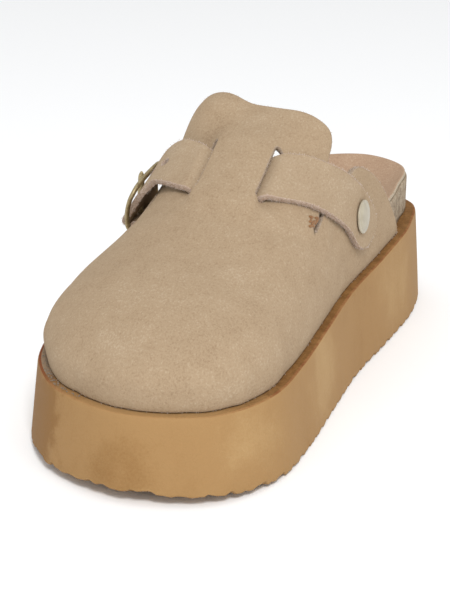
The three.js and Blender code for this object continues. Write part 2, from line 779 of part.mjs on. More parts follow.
const STRAP_STEPS = 34;
const STRAP_CUTS = 4;
const RAMP_STEPS = 6;
const rivetStation = strapStation(RIVET_AROUND);
const strapEndAround = RIVET_AROUND + STRAP_END / rivetStation.girth;

// The strap's stations: close together where it rises out of a slot.
function rampArounds(side) {
  const { girth } = strapMiddle(0.2 * side);
  const slot = slotAcross(side);
  return Array.from({ length: RAMP_STEPS + 1 }, (_, i) => {
    const gone = lerp(slot + SLOT_WIDTH / 2, slot + SLOT_RAMP * 1.35, i / RAMP_STEPS);
    return (side * gone) / girth;
  });
}
function strapArounds() {
  const [inner, outer] = [rampArounds(1), rampArounds(-1)];
  const spread = Array.from({ length: STRAP_STEPS + 1 }, (_, i) =>
    lerp(STRAP_TIP_AROUND, strapEndAround, i / STRAP_STEPS),
  );
  const margin = 0.012;
  const clear = (around, ramp) => {
    const [low, high] = [Math.min(ramp[0], ramp.at(-1)), Math.max(ramp[0], ramp.at(-1))];
    return around < low - margin || around > high + margin;
  };
  const coarse = spread.filter((around) => clear(around, inner) && clear(around, outer));
  return [...coarse, ...inner, ...outer].sort((a, b) => a - b);
}

// Half a strap's width at a distance from its rounded end.
function roundedHalf(fromEnd, width) {
  const radius = width * 0.42;
  const near = 1 - Math.min(fromEnd, radius) / radius;
  return width / 2 - radius * (1 - Math.sqrt(Math.max(0, 1 - near ** 2)));
}

// The strap as a band, made larger on every side, and higher, where it serves as an opening.
function strapBand(arounds, extra = 0, headroom = 0) {
  const stations = arounds.map(strapStation);
  return sheetSolid(stations.length - 1, STRAP_CUTS, (i, j, side) => {
    const station = stations[i];
    const { around, girth, gone } = station;
    const fromEnd = Math.min(strapEndAround - around, around - STRAP_TIP_AROUND) * girth;
    const narrowed = smoothstep(Math.abs(around), 0.2, 0.5);
    const width = lerp(STRAP_MIDDLE_WIDTH, STRAP_WIDTH, narrowed);
    const half = roundedHalf(fromEnd, width) + extra;
    const across = (j / STRAP_CUTS - 0.5) * 2 * half;
    const slant = STRAP_END_SLANT * smoothstep(around, 0.5, strapEndAround);
    const along = across * (station.skew + slant);
    const under = strapLift(around, gone) - extra;
    const above = under + STRAP_THICKNESS + 2 * extra + headroom;
    return bandPoint(station, across, along, side ? under : above);
  });
}

// The opening the strap passes through beside each slot.
const strapOpening = (side) =>
  strapBand(
    rampArounds(side).sort((a, b) => a - b),
    GAP * 1.7,
    UPPER_WALL,
  );

// A turned piece standing on a station: rows of radius and height above the upper there.
const TURNED_SIDES = 18;
function turned(station, rows) {
  const lathe = new THREE.LatheGeometry(
    rows.map(([radius, height]) => new THREE.Vector2(radius, height)),
    TURNED_SIDES,
  );
  lathe.applyMatrix4(
    new THREE.Matrix4().makeBasis(station.across, station.normal, station.along),
  );
  lathe.translate(station.point.x, station.point.y, station.point.z);
  return solidOfGeometry(lathe);
}

const peg = (station, radius, from, to) =>
  turned(station, [
    [0, from],
    [radius, from],
    [radius, to],
    [0, to],
  ]);

// A rivet: inner head, shank and domed cap. Its hole in other pieces is the same shank, wider.
const headSink = 0.5;
function rivet(station, diameter, dome, seat) {
  const radius = diameter / 2;
  const shank = RIVET_SHANK / 2;
  const inside = -UPPER_WALL - GAP - headSink;
  const cap = [1, 0.88, 0.6, 0.3, 0].map((share) => [
    radius * share,
    seat + 0.6 + (dome - 0.6) * Math.sqrt(1 - share ** 2),
  ]);
  return turned(station, [
    [0, inside - RIVET_HEAD],
    [radius * 0.6, inside - RIVET_HEAD],
    [radius * 0.6, inside],
    [shank, inside],
    [shank, seat],
    [radius, seat],
    ...cap,
  ]);
}
const rivetHole = (station) =>
  peg(station, RIVET_SHANK / 2 + GAP, -INSTEP_RISE / 4, INSTEP_RISE / 4);

// The buckle's own directions: across the strap, from the outer bar down to the hinge, and out.
const outerBar = strapStation(OUTER_BAR_AROUND);
const hinge = strapStation(HINGE_AROUND);
const tabRivetStation = strapStation(TAB_RIVET_AROUND);
const outerBarLift =
  strapLift(OUTER_BAR_AROUND, outerBar.gone) +
  STRAP_THICKNESS +
  FRAME_CLEARANCE +
  FRAME_THICKNESS / 2;
const barPlace = outerBar.point.clone().addScaledVector(outerBar.normal, outerBarLift);
const hingePlace = hinge.point.clone().addScaledVector(hinge.normal, hingeLift);
const buckleDown = hingePlace.clone().sub(barPlace);
const frameReach = buckleDown.length();
buckleDown.normalize();
const buckleAcross = hinge.across.clone().add(outerBar.across);
buckleAcross.addScaledVector(buckleDown, -buckleAcross.dot(buckleDown)).normalize();
const buckleOut = new THREE.Vector3().crossVectors(buckleAcross, buckleDown).normalize();
if (buckleOut.dot(hinge.normal) < 0) {
  buckleOut.negate();
  buckleAcross.negate();
}
const buckleFrame = new THREE.Matrix4()
  .makeBasis(buckleAcross, buckleDown, buckleOut)
  .setPosition(barPlace.clone().lerp(hingePlace, 0.5));

// A bar swept round a rounded rectangle in the buckle's plane; the outer bar bows.
const BAR_SIDES = 8;
function framePath() {
  const halfWidth = STRAP_WIDTH / 2 + FRAME_ROOM + FRAME_BAR / 2;
  const halfReach = frameReach / 2;
  const points = [];
  for (const [sx, sy, start] of [[1, 1, 0], [-1, 1, 1], [-1, -1, 2], [1, -1, 3]]) {
    for (let k = 0; k <= 5; k += 1) {
      const turn = (start + k / 5) * (Math.PI / 2);
      points.push([
        sx * (halfWidth - FRAME_CORNER) + FRAME_CORNER * Math.cos(turn),
        sy * (halfReach - FRAME_CORNER) + FRAME_CORNER * Math.sin(turn),
      ]);
    }
    if (start % 2 === 0) {
      for (const share of [0.5, 0, -0.5]) {
        points.push([sx * share * (halfWidth - FRAME_CORNER), sy * halfReach]);
      }
    }
  }
  return points.map(([x, y]) => {
    const outerShare = smoothstep(-y, -halfReach, halfReach);
    return new THREE.Vector3(x, y, -FRAME_BOW * (x / halfWidth) ** 2 * outerShare);
  });
}

function frameLoop() {
  const path = framePath();
  const stations = path.length;
  const corners = [];
  const faces = [];
  const at = (i, k) => (i % stations) * BAR_SIDES + (k % BAR_SIDES);
  path.forEach((point, i) => {
    const ahead = path[(i + 1) % stations];
    const behind = path[(i + stations - 1) % stations];
    const direction = ahead.clone().sub(behind).normalize();
    const out = new THREE.Vector3(direction.y, -direction.x, 0).normalize();
    for (let k = 0; k < BAR_SIDES; k += 1) {
      const turn = (2 * Math.PI * (k + 0.5)) / BAR_SIDES;
      const wide = (FRAME_BAR / 2) * Math.sign(Math.cos(turn)) * Math.abs(Math.cos(turn)) ** 0.6;
      const thick =
        (FRAME_THICKNESS / 2) * Math.sign(Math.sin(turn)) * Math.abs(Math.sin(turn)) ** 0.6;
      corners.push(point.clone().addScaledVector(out, wide).setZ(point.z + thick));
      faces.push(
        [at(i, k), at(i + 1, k), at(i + 1, k + 1)],
        [at(i, k), at(i + 1, k + 1), at(i, k + 1)],
      );
    }
  });
  return solid(
    corners.map((corner) => corner.applyMatrix4(buckleFrame)),
    faces,
  );
}

// A flat shape in the plane of the buckle's side view, given thickness across the strap.
// Its points are a distance down the strap and a distance out.
function sideSolid(points, width) {
  const shape = new THREE.Shape(points.map(([x, y]) => new THREE.Vector2(x, y)));
  const plate = new THREE.ExtrudeGeometry(shape, {
    depth: width,
    bevelEnabled: false,
    steps: 1,
  });
  plate.translate(0, 0, -width / 2);
  plate.applyMatrix4(
    new THREE.Matrix4().makeBasis(
      new THREE.Vector3(0, 1, 0),
      new THREE.Vector3(0, 0, 1),
      new THREE.Vector3(1, 0, 0),
    ),
  );
  return solidOfGeometry(plate.applyMatrix4(buckleFrame));
}

const EYE_SIDES = 14;
function hingeRod(radius, width) {
  const circle = Array.from({ length: EYE_SIDES }, (_, i) => {
    const turn = (2 * Math.PI * i) / EYE_SIDES;
    return [frameReach / 2 + radius * Math.cos(turn), radius * Math.sin(turn)];
  });
  return sideSolid(circle, width);
}
const eye = (radius, wall, width) =>
  hingeRod(radius + wall, width).subtract(hingeRod(radius, width * 2));

// The prong: an eye on the hinge, and an arm that comes up through the strap and rests on the
// outer bar.
const prongEyeWall = PRONG_THICKNESS * 0.6;
function prongArm(extra) {
  const rest = FRAME_THICKNESS / 2 + GAP - extra;
  const high = rest + PRONG_THICKNESS + 2 * extra;
  const tip = -frameReach / 2 - FRAME_BAR / 2 - 1;
  const low = eyeRadius + prongEyeWall * 0.4;
  return sideSolid(
    [
      [tip - extra, rest],
      [frameReach / 2 - low * 1.6, rest],
      [frameReach / 2 - low, low * 0.55 - extra],
      [frameReach / 2 - low * 0.6, high - extra],
      [frameReach / 2 - low * 1.4, high],
      [tip - extra, high - PRONG_THICKNESS * 0.4],
    ],
    PRONG_WIDTH + 2 * extra,
  );
}
const prong = () =>
  hingeRod(eyeRadius + prongEyeWall, PRONG_WIDTH)
    .add(prongArm(0))
    .subtract(hingeRod(eyeRadius, PRONG_WIDTH * 2));

// The tab: a plate on the wing, folded round the hinge, with a notch for the prong.
function tab() {
  const [steps, cuts] = [6, 2];
  const stations = Array.from({ length: steps + 1 }, (_, i) =>
    strapStation(lerp(TAB_END_AROUND, HINGE_AROUND, i / steps)),
  );
  const plate = sheetSolid(steps, cuts, (i, j, side) => {
    const station = stations[i];
    const fromEnd = (station.around - TAB_END_AROUND) * station.girth;
    const across = (j / cuts - 0.5) * 2 * roundedHalf(fromEnd, TAB_WIDTH);
    return bandPoint(station, across, 0, GAP + (1 - side) * TAB_THICKNESS);
  });
  const notch = sideSolid(
    [
      [-frameReach, -frameReach],
      [frameReach * 0.5 + eyeRadius * 1.7, -frameReach],
      [frameReach * 0.5 + eyeRadius * 1.7, frameReach],
      [-frameReach, frameReach],
    ],
    PRONG_WIDTH + 4 * GAP,
  );
  return plate
    .add(eye(eyeRadius, TAB_THICKNESS, TAB_WIDTH))
    .subtract(hingeRod(eyeRadius, TAB_WIDTH * 2))
    .subtract(notch);
}
// The piece that is left when loose chips of a cut are dropped.
const mainBody = (made) =>
  made.decompose().reduce((best, body) => (body.volume() > best.volume() ? body : best));

const suede = { color: 0xb9a283, roughness: 0.95, metalness: 0 };
const finishes = {
  platform: new THREE.MeshStandardMaterial({ color: 0xb99362, roughness: 0.7, metalness: 0 }),
  cork: new THREE.MeshStandardMaterial({ color: 0x9e9382, roughness: 0.9, metalness: 0 }),
  cover: new THREE.MeshStandardMaterial({ color: 0xb49678, roughness: 0.95, metalness: 0 }),
  suede: new THREE.MeshStandardMaterial(suede),
  cap: new THREE.MeshStandardMaterial({ color: 0xc2b79b, roughness: 0.45, metalness: 0 }),
  buckle: new THREE.MeshStandardMaterial({ color: 0x8f8262, roughness: 0.4, metalness: 0.6 }),
};

const shoe = new THREE.Group();
function addPiece(name, made, finish) {
  const mesh = new THREE.Mesh(geometryOf(made), finishes[finish]);
  mesh.name = name;
  shoe.add(mesh);
}

const strapHoles = [1, 2, 3].map((count) => {
  const around = HINGE_AROUND + ((count + 0.6) * STRAP_HOLE_PITCH) / hinge.girth;
  return peg(strapStation(around), STRAP_HOLE, -GAP, INSTEP_RISE / 3);
});
const strap = [rivetHole(rivetStation), prongArm(GAP), ...strapHoles].reduce(
  (made, hole) => made.subtract(hole),
  strapBand(strapArounds()),
);
const upper = [
  openingPrism().subtract(tonguePrism()),
  slotPrism(1),
  slotPrism(-1),
  slitPrism(1),
  slitPrism(-1),
  strapOpening(1),
  strapOpening(-1),
  rivetHole(rivetStation),
  rivetHole(tabRivetStation),
].reduce((made, cut) => made.subtract(cut), upperShell());

addPiece('platform_sole', platformSole(), 'platform');
addPiece('footbed', footbed(), 'cork');
addPiece('footbed_cover', footbedCover(), 'cover');
addPiece('upper', mainBody(upper), 'suede');
addPiece('strap', mainBody(strap), 'suede');
addPiece(
  'strap_rivet',
  rivet(rivetStation, RIVET_DIAMETER, RIVET_DOME, GAP + STRAP_THICKNESS + GAP),
  'cap',
);
addPiece('buckle_tab', tab().subtract(rivetHole(tabRivetStation)), 'suede');
addPiece('tab_rivet', rivet(tabRivetStation, TAB_RIVET_DIAMETER, TAB_RIVET_DOME, tabTop + GAP), 'buckle');
addPiece('buckle_frame', frameLoop(), 'buckle');
addPiece('buckle_prong', prong(), 'buckle');

// The origin goes to the middle of the shoe's box.
const middle = new THREE.Box3().setFromObject(shoe).getCenter(new THREE.Vector3());
shoe.position.set(-middle.x, -middle.y, 0);

export default shoe;
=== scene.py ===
# %% [markdown]
# This notebook gives a packed clog its looks. The shoe is a thick foam platform, a cork footbed
# with a suede cover, a one-piece suede upper with a tongue, and one strap with a rivet and a buckle.
# Everything is built in the shoe's own millimetres and turned into metres at the end, because the
# shoemaker's sizes are easier to read that way.

# %% A right platform clog in suede
import math

import bpy
import numpy as np
from mathutils import Matrix, Vector
from mathutils.geometry import delaunay_2d_cdt
from mathutils.kdtree import KDTree


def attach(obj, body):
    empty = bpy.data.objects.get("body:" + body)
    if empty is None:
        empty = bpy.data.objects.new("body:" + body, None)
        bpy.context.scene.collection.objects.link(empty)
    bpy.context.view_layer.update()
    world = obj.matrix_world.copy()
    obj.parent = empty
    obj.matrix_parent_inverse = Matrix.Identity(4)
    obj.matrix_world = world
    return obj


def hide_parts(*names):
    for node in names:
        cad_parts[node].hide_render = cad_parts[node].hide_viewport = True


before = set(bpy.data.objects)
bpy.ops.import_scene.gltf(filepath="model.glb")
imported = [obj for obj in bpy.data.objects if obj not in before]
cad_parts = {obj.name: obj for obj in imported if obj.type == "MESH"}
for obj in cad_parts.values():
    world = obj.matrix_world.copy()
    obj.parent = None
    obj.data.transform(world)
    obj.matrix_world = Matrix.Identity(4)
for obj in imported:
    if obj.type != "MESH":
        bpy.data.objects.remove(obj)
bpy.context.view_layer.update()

# %% [markdown]
# The camera comes first, so that every later step can be judged from the photo's own place. It was
# fitted to the outline of the sole and the upper: about 67 cm away, a little to the big-toe side
# and 19 degrees above the floor, with a long lens.

# %% Camera
MM = 0.001
CAMERA_AZIMUTH = 23.535
CAMERA_ELEVATION = 19.161
CAMERA_ROLL = 0.641
CAMERA_DISTANCE = 671.787
CAMERA_TARGET = (-24.725, 32.760, 13.191)
LENS = 96.665


def camera_matrix():
    """The camera's place and turn, from its angles round the target."""
    azimuth, elevation = math.radians(CAMERA_AZIMUTH), math.radians(CAMERA_ELEVATION)
    back = Vector(
        (
            math.sin(azimuth) * math.cos(elevation),
            -math.cos(azimuth) * math.cos(elevation),
            math.sin(elevation),
        )
    )
    right = Vector((0, 0, 1)).cross(back).normalized()
    up = back.cross(right)
    roll = math.radians(CAMERA_ROLL)
    turned_right = math.cos(roll) * right + math.sin(roll) * up
    turned_up = math.cos(roll) * up - math.sin(roll) * right
    matrix = Matrix((turned_right, turned_up, back)).transposed().to_4x4()
    matrix.translation = (Vector(CAMERA_TARGET) + CAMERA_DISTANCE * back) * MM
    return matrix


lens = bpy.data.cameras.new("photo_camera")
lens.lens = LENS
lens.sensor_width = 36
lens.clip_start, lens.clip_end = 0.01, 20
camera = bpy.data.objects.new("photo_camera", lens)
camera.matrix_world = camera_matrix()
bpy.context.scene.collection.objects.link(camera)
bpy.context.scene.camera = camera
print("camera at", [round(c, 3) for c in camera.location], "m")

# %% [markdown]
# These are the sizes and short tables that the shoe was drawn with. They could be measured from the
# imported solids, but those are made of flat faces. The fine surfaces below are worked out anew from
# the same numbers, so they are smooth and still lie where the solids lie.

# %% Sizes of the shoe
SOLE_LENGTH = 262.0
BALL_WIDTH = 103.0
HEEL_HEIGHT = 41.7
TOE_HEIGHT = 30.0
SIDE_FLARE = 3.1
TOE_SPRING = 4.0
LEDGE_WIDTH = 3.4
EDGE_CHAMFER = 0.8
LUG_PITCH = 9.0
LUG_DEPTH = 1.6
RIM_HEIGHT = 16.5
SEAT_HEIGHT = 9.0
COVER_THICKNESS = 1.4
INSTEP_RISE = 68.0
UPPER_WALL = 2.2
SIDE_WALL_RISE = 8.0
SIDE_LEAN = 1.0
SLOT_LENGTH = 26.5
SLOT_SPACING = 22.4
SLOT_OFFSET = 1.4
SLOT_TILT = 0.064
SLOT_RAMP = 6.0
SLOT_HOLE = 1.4
SLIT_WIDTH = 0.8
CENTRE_LIFT = 2.0
TONGUE_LIFT = 6.5
TONGUE_WIDTH = 62.5
STRAP_WIDTH = 20.5
STRAP_MIDDLE_WIDTH = 24.3
STRAP_THICKNESS = 2.4
STRAP_END = 13.5
STRAP_END_SLANT = 0.35
RIVET_DIAMETER = 13.0
FRAME_BAR = 2.2
FRAME_THICKNESS = 1.6
FRAME_ROOM = 1.2
FRAME_BOW = 0.8
FRAME_CORNER = 4.0
FRAME_CLEARANCE = 0.5
SIDE_BOW = 1.8
FRONT_TUCK = 2.0
HINGE_CLEARANCE = 0.35
TAB_WIDTH = 15.0
TAB_THICKNESS = 0.9
GAP = 0.3
SHOE_SHIFT = np.array([4.766, 0.0, 0.0])


# %% Rows
def rows(names, *lines):
    """A table as a list of rows with named columns."""
    return [dict(zip(names.split(), line)) for line in lines]


OUTLINE = rows(
    "along inner outer",
    (0, 0.043, 0.043), (0.034, 0.305, -0.236), (0.083, 0.403, -0.375), (0.152, 0.455, -0.484),
    (0.259, 0.445, -0.551), (0.392, 0.408, -0.518), (0.533, 0.371, -0.461), (0.693, 0.364, -0.405),
    (0.849, 0.339, -0.366), (0.956, 0.251, -0.261), (1, 0, 0),
)
PLATFORM_CLIMB = rows("along climb", (0, 0), (0.3, 0.09), (0.61, 0.43), (1, 1))
FOOTBED = rows(
    "along inner outer seat",
    (0, 0.5, 0.5, 0.8), (0.25, 0.5, 0.5, 0.75), (0.42, 0.62, 0.5, 0.95), (0.56, 0.88, 0.58, 1.15),
    (0.7, 0.88, 0.78, 1.05), (0.85, 0.9, 0.88, 0.92), (1, 1, 1, 0.9),
)
LAST = rows(
    "along rise inner outer",
    (0, 0.34, 2.2, 2), (0.076, 0.4, 2.2, 2), (0.152, 0.46, 2.2, 1.85), (0.228, 0.53, 2.15, 1.75),
    (0.305, 0.625, 2.1, 1.7), (0.381, 0.74, 2.1, 1.75), (0.457, 0.875, 2.25, 2.1),
    (0.533, 0.985, 2.8, 2.8), (0.609, 1.05, 3, 3.1), (0.72, 1.1, 2.7, 2.7), (0.9, 1.12, 2.5, 2.5),
)
WING_EDGE = rows(
    "along rise",
    (0.42, 0.6), (0.5, 0.625), (0.551, 0.645), (0.59, 0.655), (0.635, 0.58), (0.677, 0.469),
    (0.716, 0.336), (0.75, 0.2), (0.784, 0.05), (0.8, -0.02),
)
TONGUE_EDGE = [
    (0.52, -0.31), (0.5, 0.17), (0.456, 0.75), (0.43, 1.16), (0.39, 1.39), (0.31, 1.46),
    (0.2, 1.48), (0.06, 1.47), (-0.12, 1.51), (-0.28, 1.59), (-0.43, 1.48), (-0.49, 1.15),
    (-0.508, 0.7), (-0.5, 0.17), (-0.5, -0.48),
]
STRAP_ROUTE = rows(
    "around inner outer",
    (0, 0.396, 0.396), (0.1, 0.399, 0.399), (0.18, 0.407, 0.407), (0.27, 0.4225, 0.4225),
    (0.37, 0.45, 0.4425), (0.48, 0.484, 0.452), (0.61, 0.53, 0.46), (0.7, 0.562, 0.466),
    (0.88, 0.622, 0.48),
)
SLOTS_ALONG = 0.41
RIVET_AROUND = 0.695
OUTER_BAR_AROUND = -0.5
HINGE_AROUND = -0.71
TAB_RIVET_AROUND = -0.82
TAB_END_AROUND = -0.9
STRAP_TIP_AROUND = -0.755
RIDGE_X = -0.027 * BALL_WIDTH
PIVOT_Y = (0.18 - 0.5) * SOLE_LENGTH
WALL_SHARE = 0.22

# %% [markdown]
# A table read as a smooth curve passes through each of its rows. A straight line between the rows
# would show as flats on the leather, and a fitted formula would be harder to change.

# %% Curves through the tables


def read_table(table, column, at, key="along"):
    """The smooth curve through one column of a table, read at one place or many."""
    x = np.array([row[key] for row in table], float)
    y = np.array([row[column] for row in table], float)
    slope = np.empty_like(y)
    slope[1:-1] = (y[2:] - y[:-2]) / (x[2:] - x[:-2])
    slope[0] = (y[1] - y[0]) / (x[1] - x[0])
    slope[-1] = (y[-1] - y[-2]) / (x[-1] - x[-2])
    at = np.clip(np.asarray(at, float), x[0], x[-1])
    i = np.clip(np.searchsorted(x, at, side="left") - 1, 0, len(x) - 2)
    span = x[i + 1] - x[i]
    t = (at - x[i]) / span
    return (
        (2 * t**3 - 3 * t**2 + 1) * y[i]
        + (t**3 - 2 * t**2 + t) * span * slope[i]
        + (3 * t**2 - 2 * t**3) * y[i + 1]
        + (t**3 - t**2) * span * slope[i + 1]
    )


# %% Lerp
def lerp(a, b, share):
    return a + (b - a) * share


def smoothstep(x, low, high):
    t = np.clip((np.asarray(x, float) - low) / (high - low), 0, 1)
    return t * t * (3 - 2 * t)


def unit(vectors):
    """The same directions with length one."""
    length = np.linalg.norm(vectors, axis=-1, keepdims=True)
    return vectors / np.maximum(length, 1e-9)


def y_of(along):
    return (np.asarray(along) - 0.5) * SOLE_LENGTH


def along_of(y):
    return np.asarray(y) / SOLE_LENGTH + 0.5


# %% Platform top
def platform_top(y):
    return lerp(TOE_HEIGHT, HEEL_HEIGHT, read_table(PLATFORM_CLIMB, "climb", along_of(y)))


def sole_bottom(y):
    start = y_of(0.26)
    return TOE_SPRING * np.maximum(0, (start - y) / (start - y_of(0))) ** 2


# %% [markdown]
# The outline is one closed curve through the table's points: heel, big-toe side, toe, outer side.
# The curve spaces itself by the square root of the distance between points, which keeps it from
# bulging where they lie close together at the toe.

# %% The sole's outline
OUTLINE_SAMPLES = 4800


def outline_curve():
    """Points and directions along the closed outline, from the heel round the toe and back."""
    inner = [(row["inner"], row["along"]) for row in OUTLINE[:0:-1]]
    outer = [(row["outer"], row["along"]) for row in OUTLINE[:-1]]
    points = np.array([(x * BALL_WIDTH, y_of(y)) for x, y in inner + outer])
    count = len(points)
    place = np.arange(OUTLINE_SAMPLES) / OUTLINE_SAMPLES * count
    i = place.astype(int)
    p0, p1, p2, p3 = (points[(i + k) % count] for k in (-1, 0, 1, 2))
    gaps = [np.linalg.norm(b - a, axis=1, keepdims=True) ** 0.5 for a, b in ((p0, p1), (p1, p2), (p2, p3))]
    d0, d1, d2 = gaps
    start = ((p1 - p0) / d0 - (p2 - p0) / (d0 + d1) + (p2 - p1) / d1) * d1
    end = ((p2 - p1) / d1 - (p3 - p1) / (d1 + d2) + (p3 - p2) / d2) * d1
    w = (place - i)[:, None]
    curve = (
        p1
        + start * w
        + (-3 * p1 + 3 * p2 - 2 * start - end) * w**2
        + (2 * p1 - 2 * p2 + start + end) * w**3
    )
    return curve, unit(np.roll(curve, -1, 0) - np.roll(curve, 1, 0))


CURVE, CURVE_DIRECTION = outline_curve()


# %% Outline point
def outline_point(t, inset):
    """Points on the outline moved inwards. t is 0 at the heel, and half way round is the toe."""
    place = (np.asarray(t, float) % 1) * OUTLINE_SAMPLES
    i = place.astype(int)
    w = (place - i)[..., None]
    j = (i + 1) % OUTLINE_SAMPLES
    i = i % OUTLINE_SAMPLES
    point = lerp(CURVE[i], CURVE[j], w)
    direction = lerp(CURVE_DIRECTION[i], CURVE_DIRECTION[j], w)
    inwards = np.stack([direction[..., 1], -direction[..., 0]], -1)
    return point + inwards * np.asarray(inset)[..., None]


print("outline length in mm:", round(float(np.linalg.norm(np.diff(CURVE, axis=0), axis=1).sum())))

# %% [markdown]
# A last is the form a shoe is pulled over. Each cross-section of this one climbs from the ledge up
# a low wall, and then over a superellipse to the ridge. In front of the toe pivot the sections fan
# out like spokes. That gives a round toe without a seam, which a row of straight slices could not.

# %% The last: the upper's outer face
UPPER_INSET = SIDE_FLARE + LEDGE_WIDTH


def ridge_height(y):
    return platform_top(y) + INSTEP_RISE * read_table(LAST, "rise", along_of(y))


def section_point(base, up):
    """Points of the sections that start at the base points; up is 0 on the ledge, 1 on the ridge."""
    base_x, base_y = base[..., 0], base[..., 1]
    centre_y = np.maximum(base_y, PIVOT_Y)
    out_x, out_y = base_x - RIDGE_X, base_y - centre_y
    reach = np.hypot(out_x, out_y)
    wall_share = np.minimum(up / WALL_SHARE, 1)
    turn = np.maximum(0, (up - WALL_SHARE) / (1 - WALL_SHARE)) * (math.pi / 2)
    along = along_of(centre_y)
    outer_full, inner_full = (read_table(LAST, side, along) for side in ("outer", "inner"))
    full = lerp(outer_full, inner_full, (1 + out_x / reach) / 2)
    lean = 1 + SIDE_LEAN * np.sin(wall_share * math.pi / 2) / reach
    across = lean * np.maximum(0, np.cos(turn)) ** (2 / full)
    across = np.where(up >= 1, 0, across)
    x, y = RIDGE_X + out_x * across, centre_y + out_y * across
    foot = platform_top(base_y) + GAP
    rise = ridge_height(y) - foot
    wall = np.minimum(SIDE_WALL_RISE, rise * 0.4)
    z = foot + wall * wall_share + (rise - wall) * np.sin(turn) ** (2 / full)
    return np.stack([x, y, z], -1)


# %% [markdown]
# The upper is cut out of a flat piece of suede, so it is drawn flat here too. A flat point's
# distance from the ridge is the way walked over the last from there. Cutting slots and edges in the flat keeps
# every cut clean. Cutting them out of a finished solid would leave ragged little faces.

# %% Laying the upper out flat
REAR_END = float(y_of(0.83))
REAR_ROWS, FAN_ROWS, UP_STEPS = 260, 420, 200


def base_lines():
    """Base points on the ledge: big-toe side from back to front, round the toe, outer side back."""
    t = np.linspace(0, 1, 4001)
    ledge = outline_point(t, UPPER_INSET)
    inner, outer = ledge[100:1990], ledge[2010:3900]
    rear = np.linspace(REAR_END, PIVOT_Y, REAR_ROWS, endpoint=False)
    inner_x = np.interp(rear, inner[::-1, 1], inner[::-1, 0])
    outer_x = np.interp(rear, outer[:, 1], outer[:, 0])
    t_inner = np.interp(PIVOT_Y, inner[::-1, 1], t[100:1990][::-1])
    t_outer = np.interp(PIVOT_Y, outer[:, 1], t[2010:3900])
    fan = outline_point(np.linspace(t_inner, t_outer, FAN_ROWS), UPPER_INSET)
    fan[[0, -1], 1] = PIVOT_Y
    return np.concatenate(
        [np.stack([inner_x, rear], -1), fan, np.stack([outer_x, rear], -1)[::-1]]
    )


BASES = base_lines()
UPS = np.linspace(1, 0, UP_STEPS + 1)
SECTIONS = section_point(BASES[:, None], np.broadcast_to(UPS, (len(BASES), len(UPS))))
WALKED = np.concatenate(
    [
        np.zeros((len(BASES), 1)),
        np.cumsum(np.linalg.norm(np.diff(SECTIONS, axis=1), axis=2), axis=1),
    ],
    axis=1,
)
GIRTH = WALKED[:, -1]
SHARES = np.linspace(0, 1, UP_STEPS + 1)
UP_AT = np.array([np.interp(SHARES, walked / walked[-1], UPS) for walked in WALKED])
FAN_ANGLE = np.arctan2(
    PIVOT_Y - BASES[REAR_ROWS:-REAR_ROWS, 1], BASES[REAR_ROWS:-REAR_ROWS, 0] - RIDGE_X
)


# %% Section index
def section_index(flat):
    """Which section a flat point lies on, as a number between two of them, and its way down it."""
    x, y = flat[..., 0] - RIDGE_X, flat[..., 1]
    behind = y >= PIVOT_Y
    back = np.clip((REAR_END - y) / (REAR_END - PIVOT_Y) * REAR_ROWS, 0, REAR_ROWS)
    rear = np.where(x >= 0, back, len(BASES) - 1 - back)
    angle = np.arctan2(np.maximum(PIVOT_Y - y, 0), x)
    fan = REAR_ROWS + np.interp(angle, FAN_ANGLE, np.arange(FAN_ROWS))
    walked = np.where(behind, np.abs(x), np.hypot(x, PIVOT_Y - y))
    return np.clip(np.where(behind, rear, fan), 0, len(BASES) - 1.001), walked


def last_surface(flat):
    """The point of the last over each flat point."""
    index, walked = section_index(flat)
    i = index.astype(int)
    w = index - i
    share = np.clip(walked / lerp(GIRTH[i], GIRTH[i + 1], w), 0, 1) * UP_STEPS
    j = np.minimum(share.astype(int), UP_STEPS - 1)
    v = share - j
    up = lerp(
        lerp(UP_AT[i, j], UP_AT[i, j + 1], v), lerp(UP_AT[i + 1, j], UP_AT[i + 1, j + 1], v), w
    )
    base = lerp(BASES[i], BASES[i + 1], w[..., None])
    return section_point(base, up)


# %% Last normal
def last_normal(flat, step=0.6):
    """The last's outward direction over each flat point."""
    east, north = np.array([step, 0]), np.array([0, step])
    return unit(
        np.cross(
            last_surface(flat + east) - last_surface(flat - east),
            last_surface(flat + north) - last_surface(flat - north),
        )
    )


def soft_surface(flat):
    """The last with its ridge line rounded, as suede would lie over it."""
    _, walked = section_index(flat)
    reach = 5 * (1 - smoothstep(walked, 4, 24))
    total = last_surface(flat)
    for k in range(8):
        turn = k * math.pi / 4
        total = total + last_surface(flat + reach[..., None] * np.array([math.cos(turn), math.sin(turn)]))
    return total / 9


print("girth at the ball, ridge to ledge, in mm:", round(float(GIRTH[180]), 1))

# %% [markdown]
# Tongue, slots and slits are drawn on a plane that lies on the instep, the way a maker looks
# square on at the leather. Each drawn point drops onto the last, and so gets its place in the flat.

# %% The instep plane
INSTEP_Y = float(y_of(SLOTS_ALONG))
INSTEP_SLOPE = math.atan2(
    float(ridge_height(INSTEP_Y + SLOT_LENGTH) - ridge_height(INSTEP_Y - SLOT_LENGTH / 2)),
    SLOT_LENGTH * 1.5,
)
INSTEP_UP = np.array([0, math.cos(INSTEP_SLOPE), math.sin(INSTEP_SLOPE)])
SLOT_LINE = unit(INSTEP_UP - [SLOT_TILT, 0, 0])
INSTEP_ORIGIN = np.array([RIDGE_X, INSTEP_Y, float(ridge_height(INSTEP_Y))])


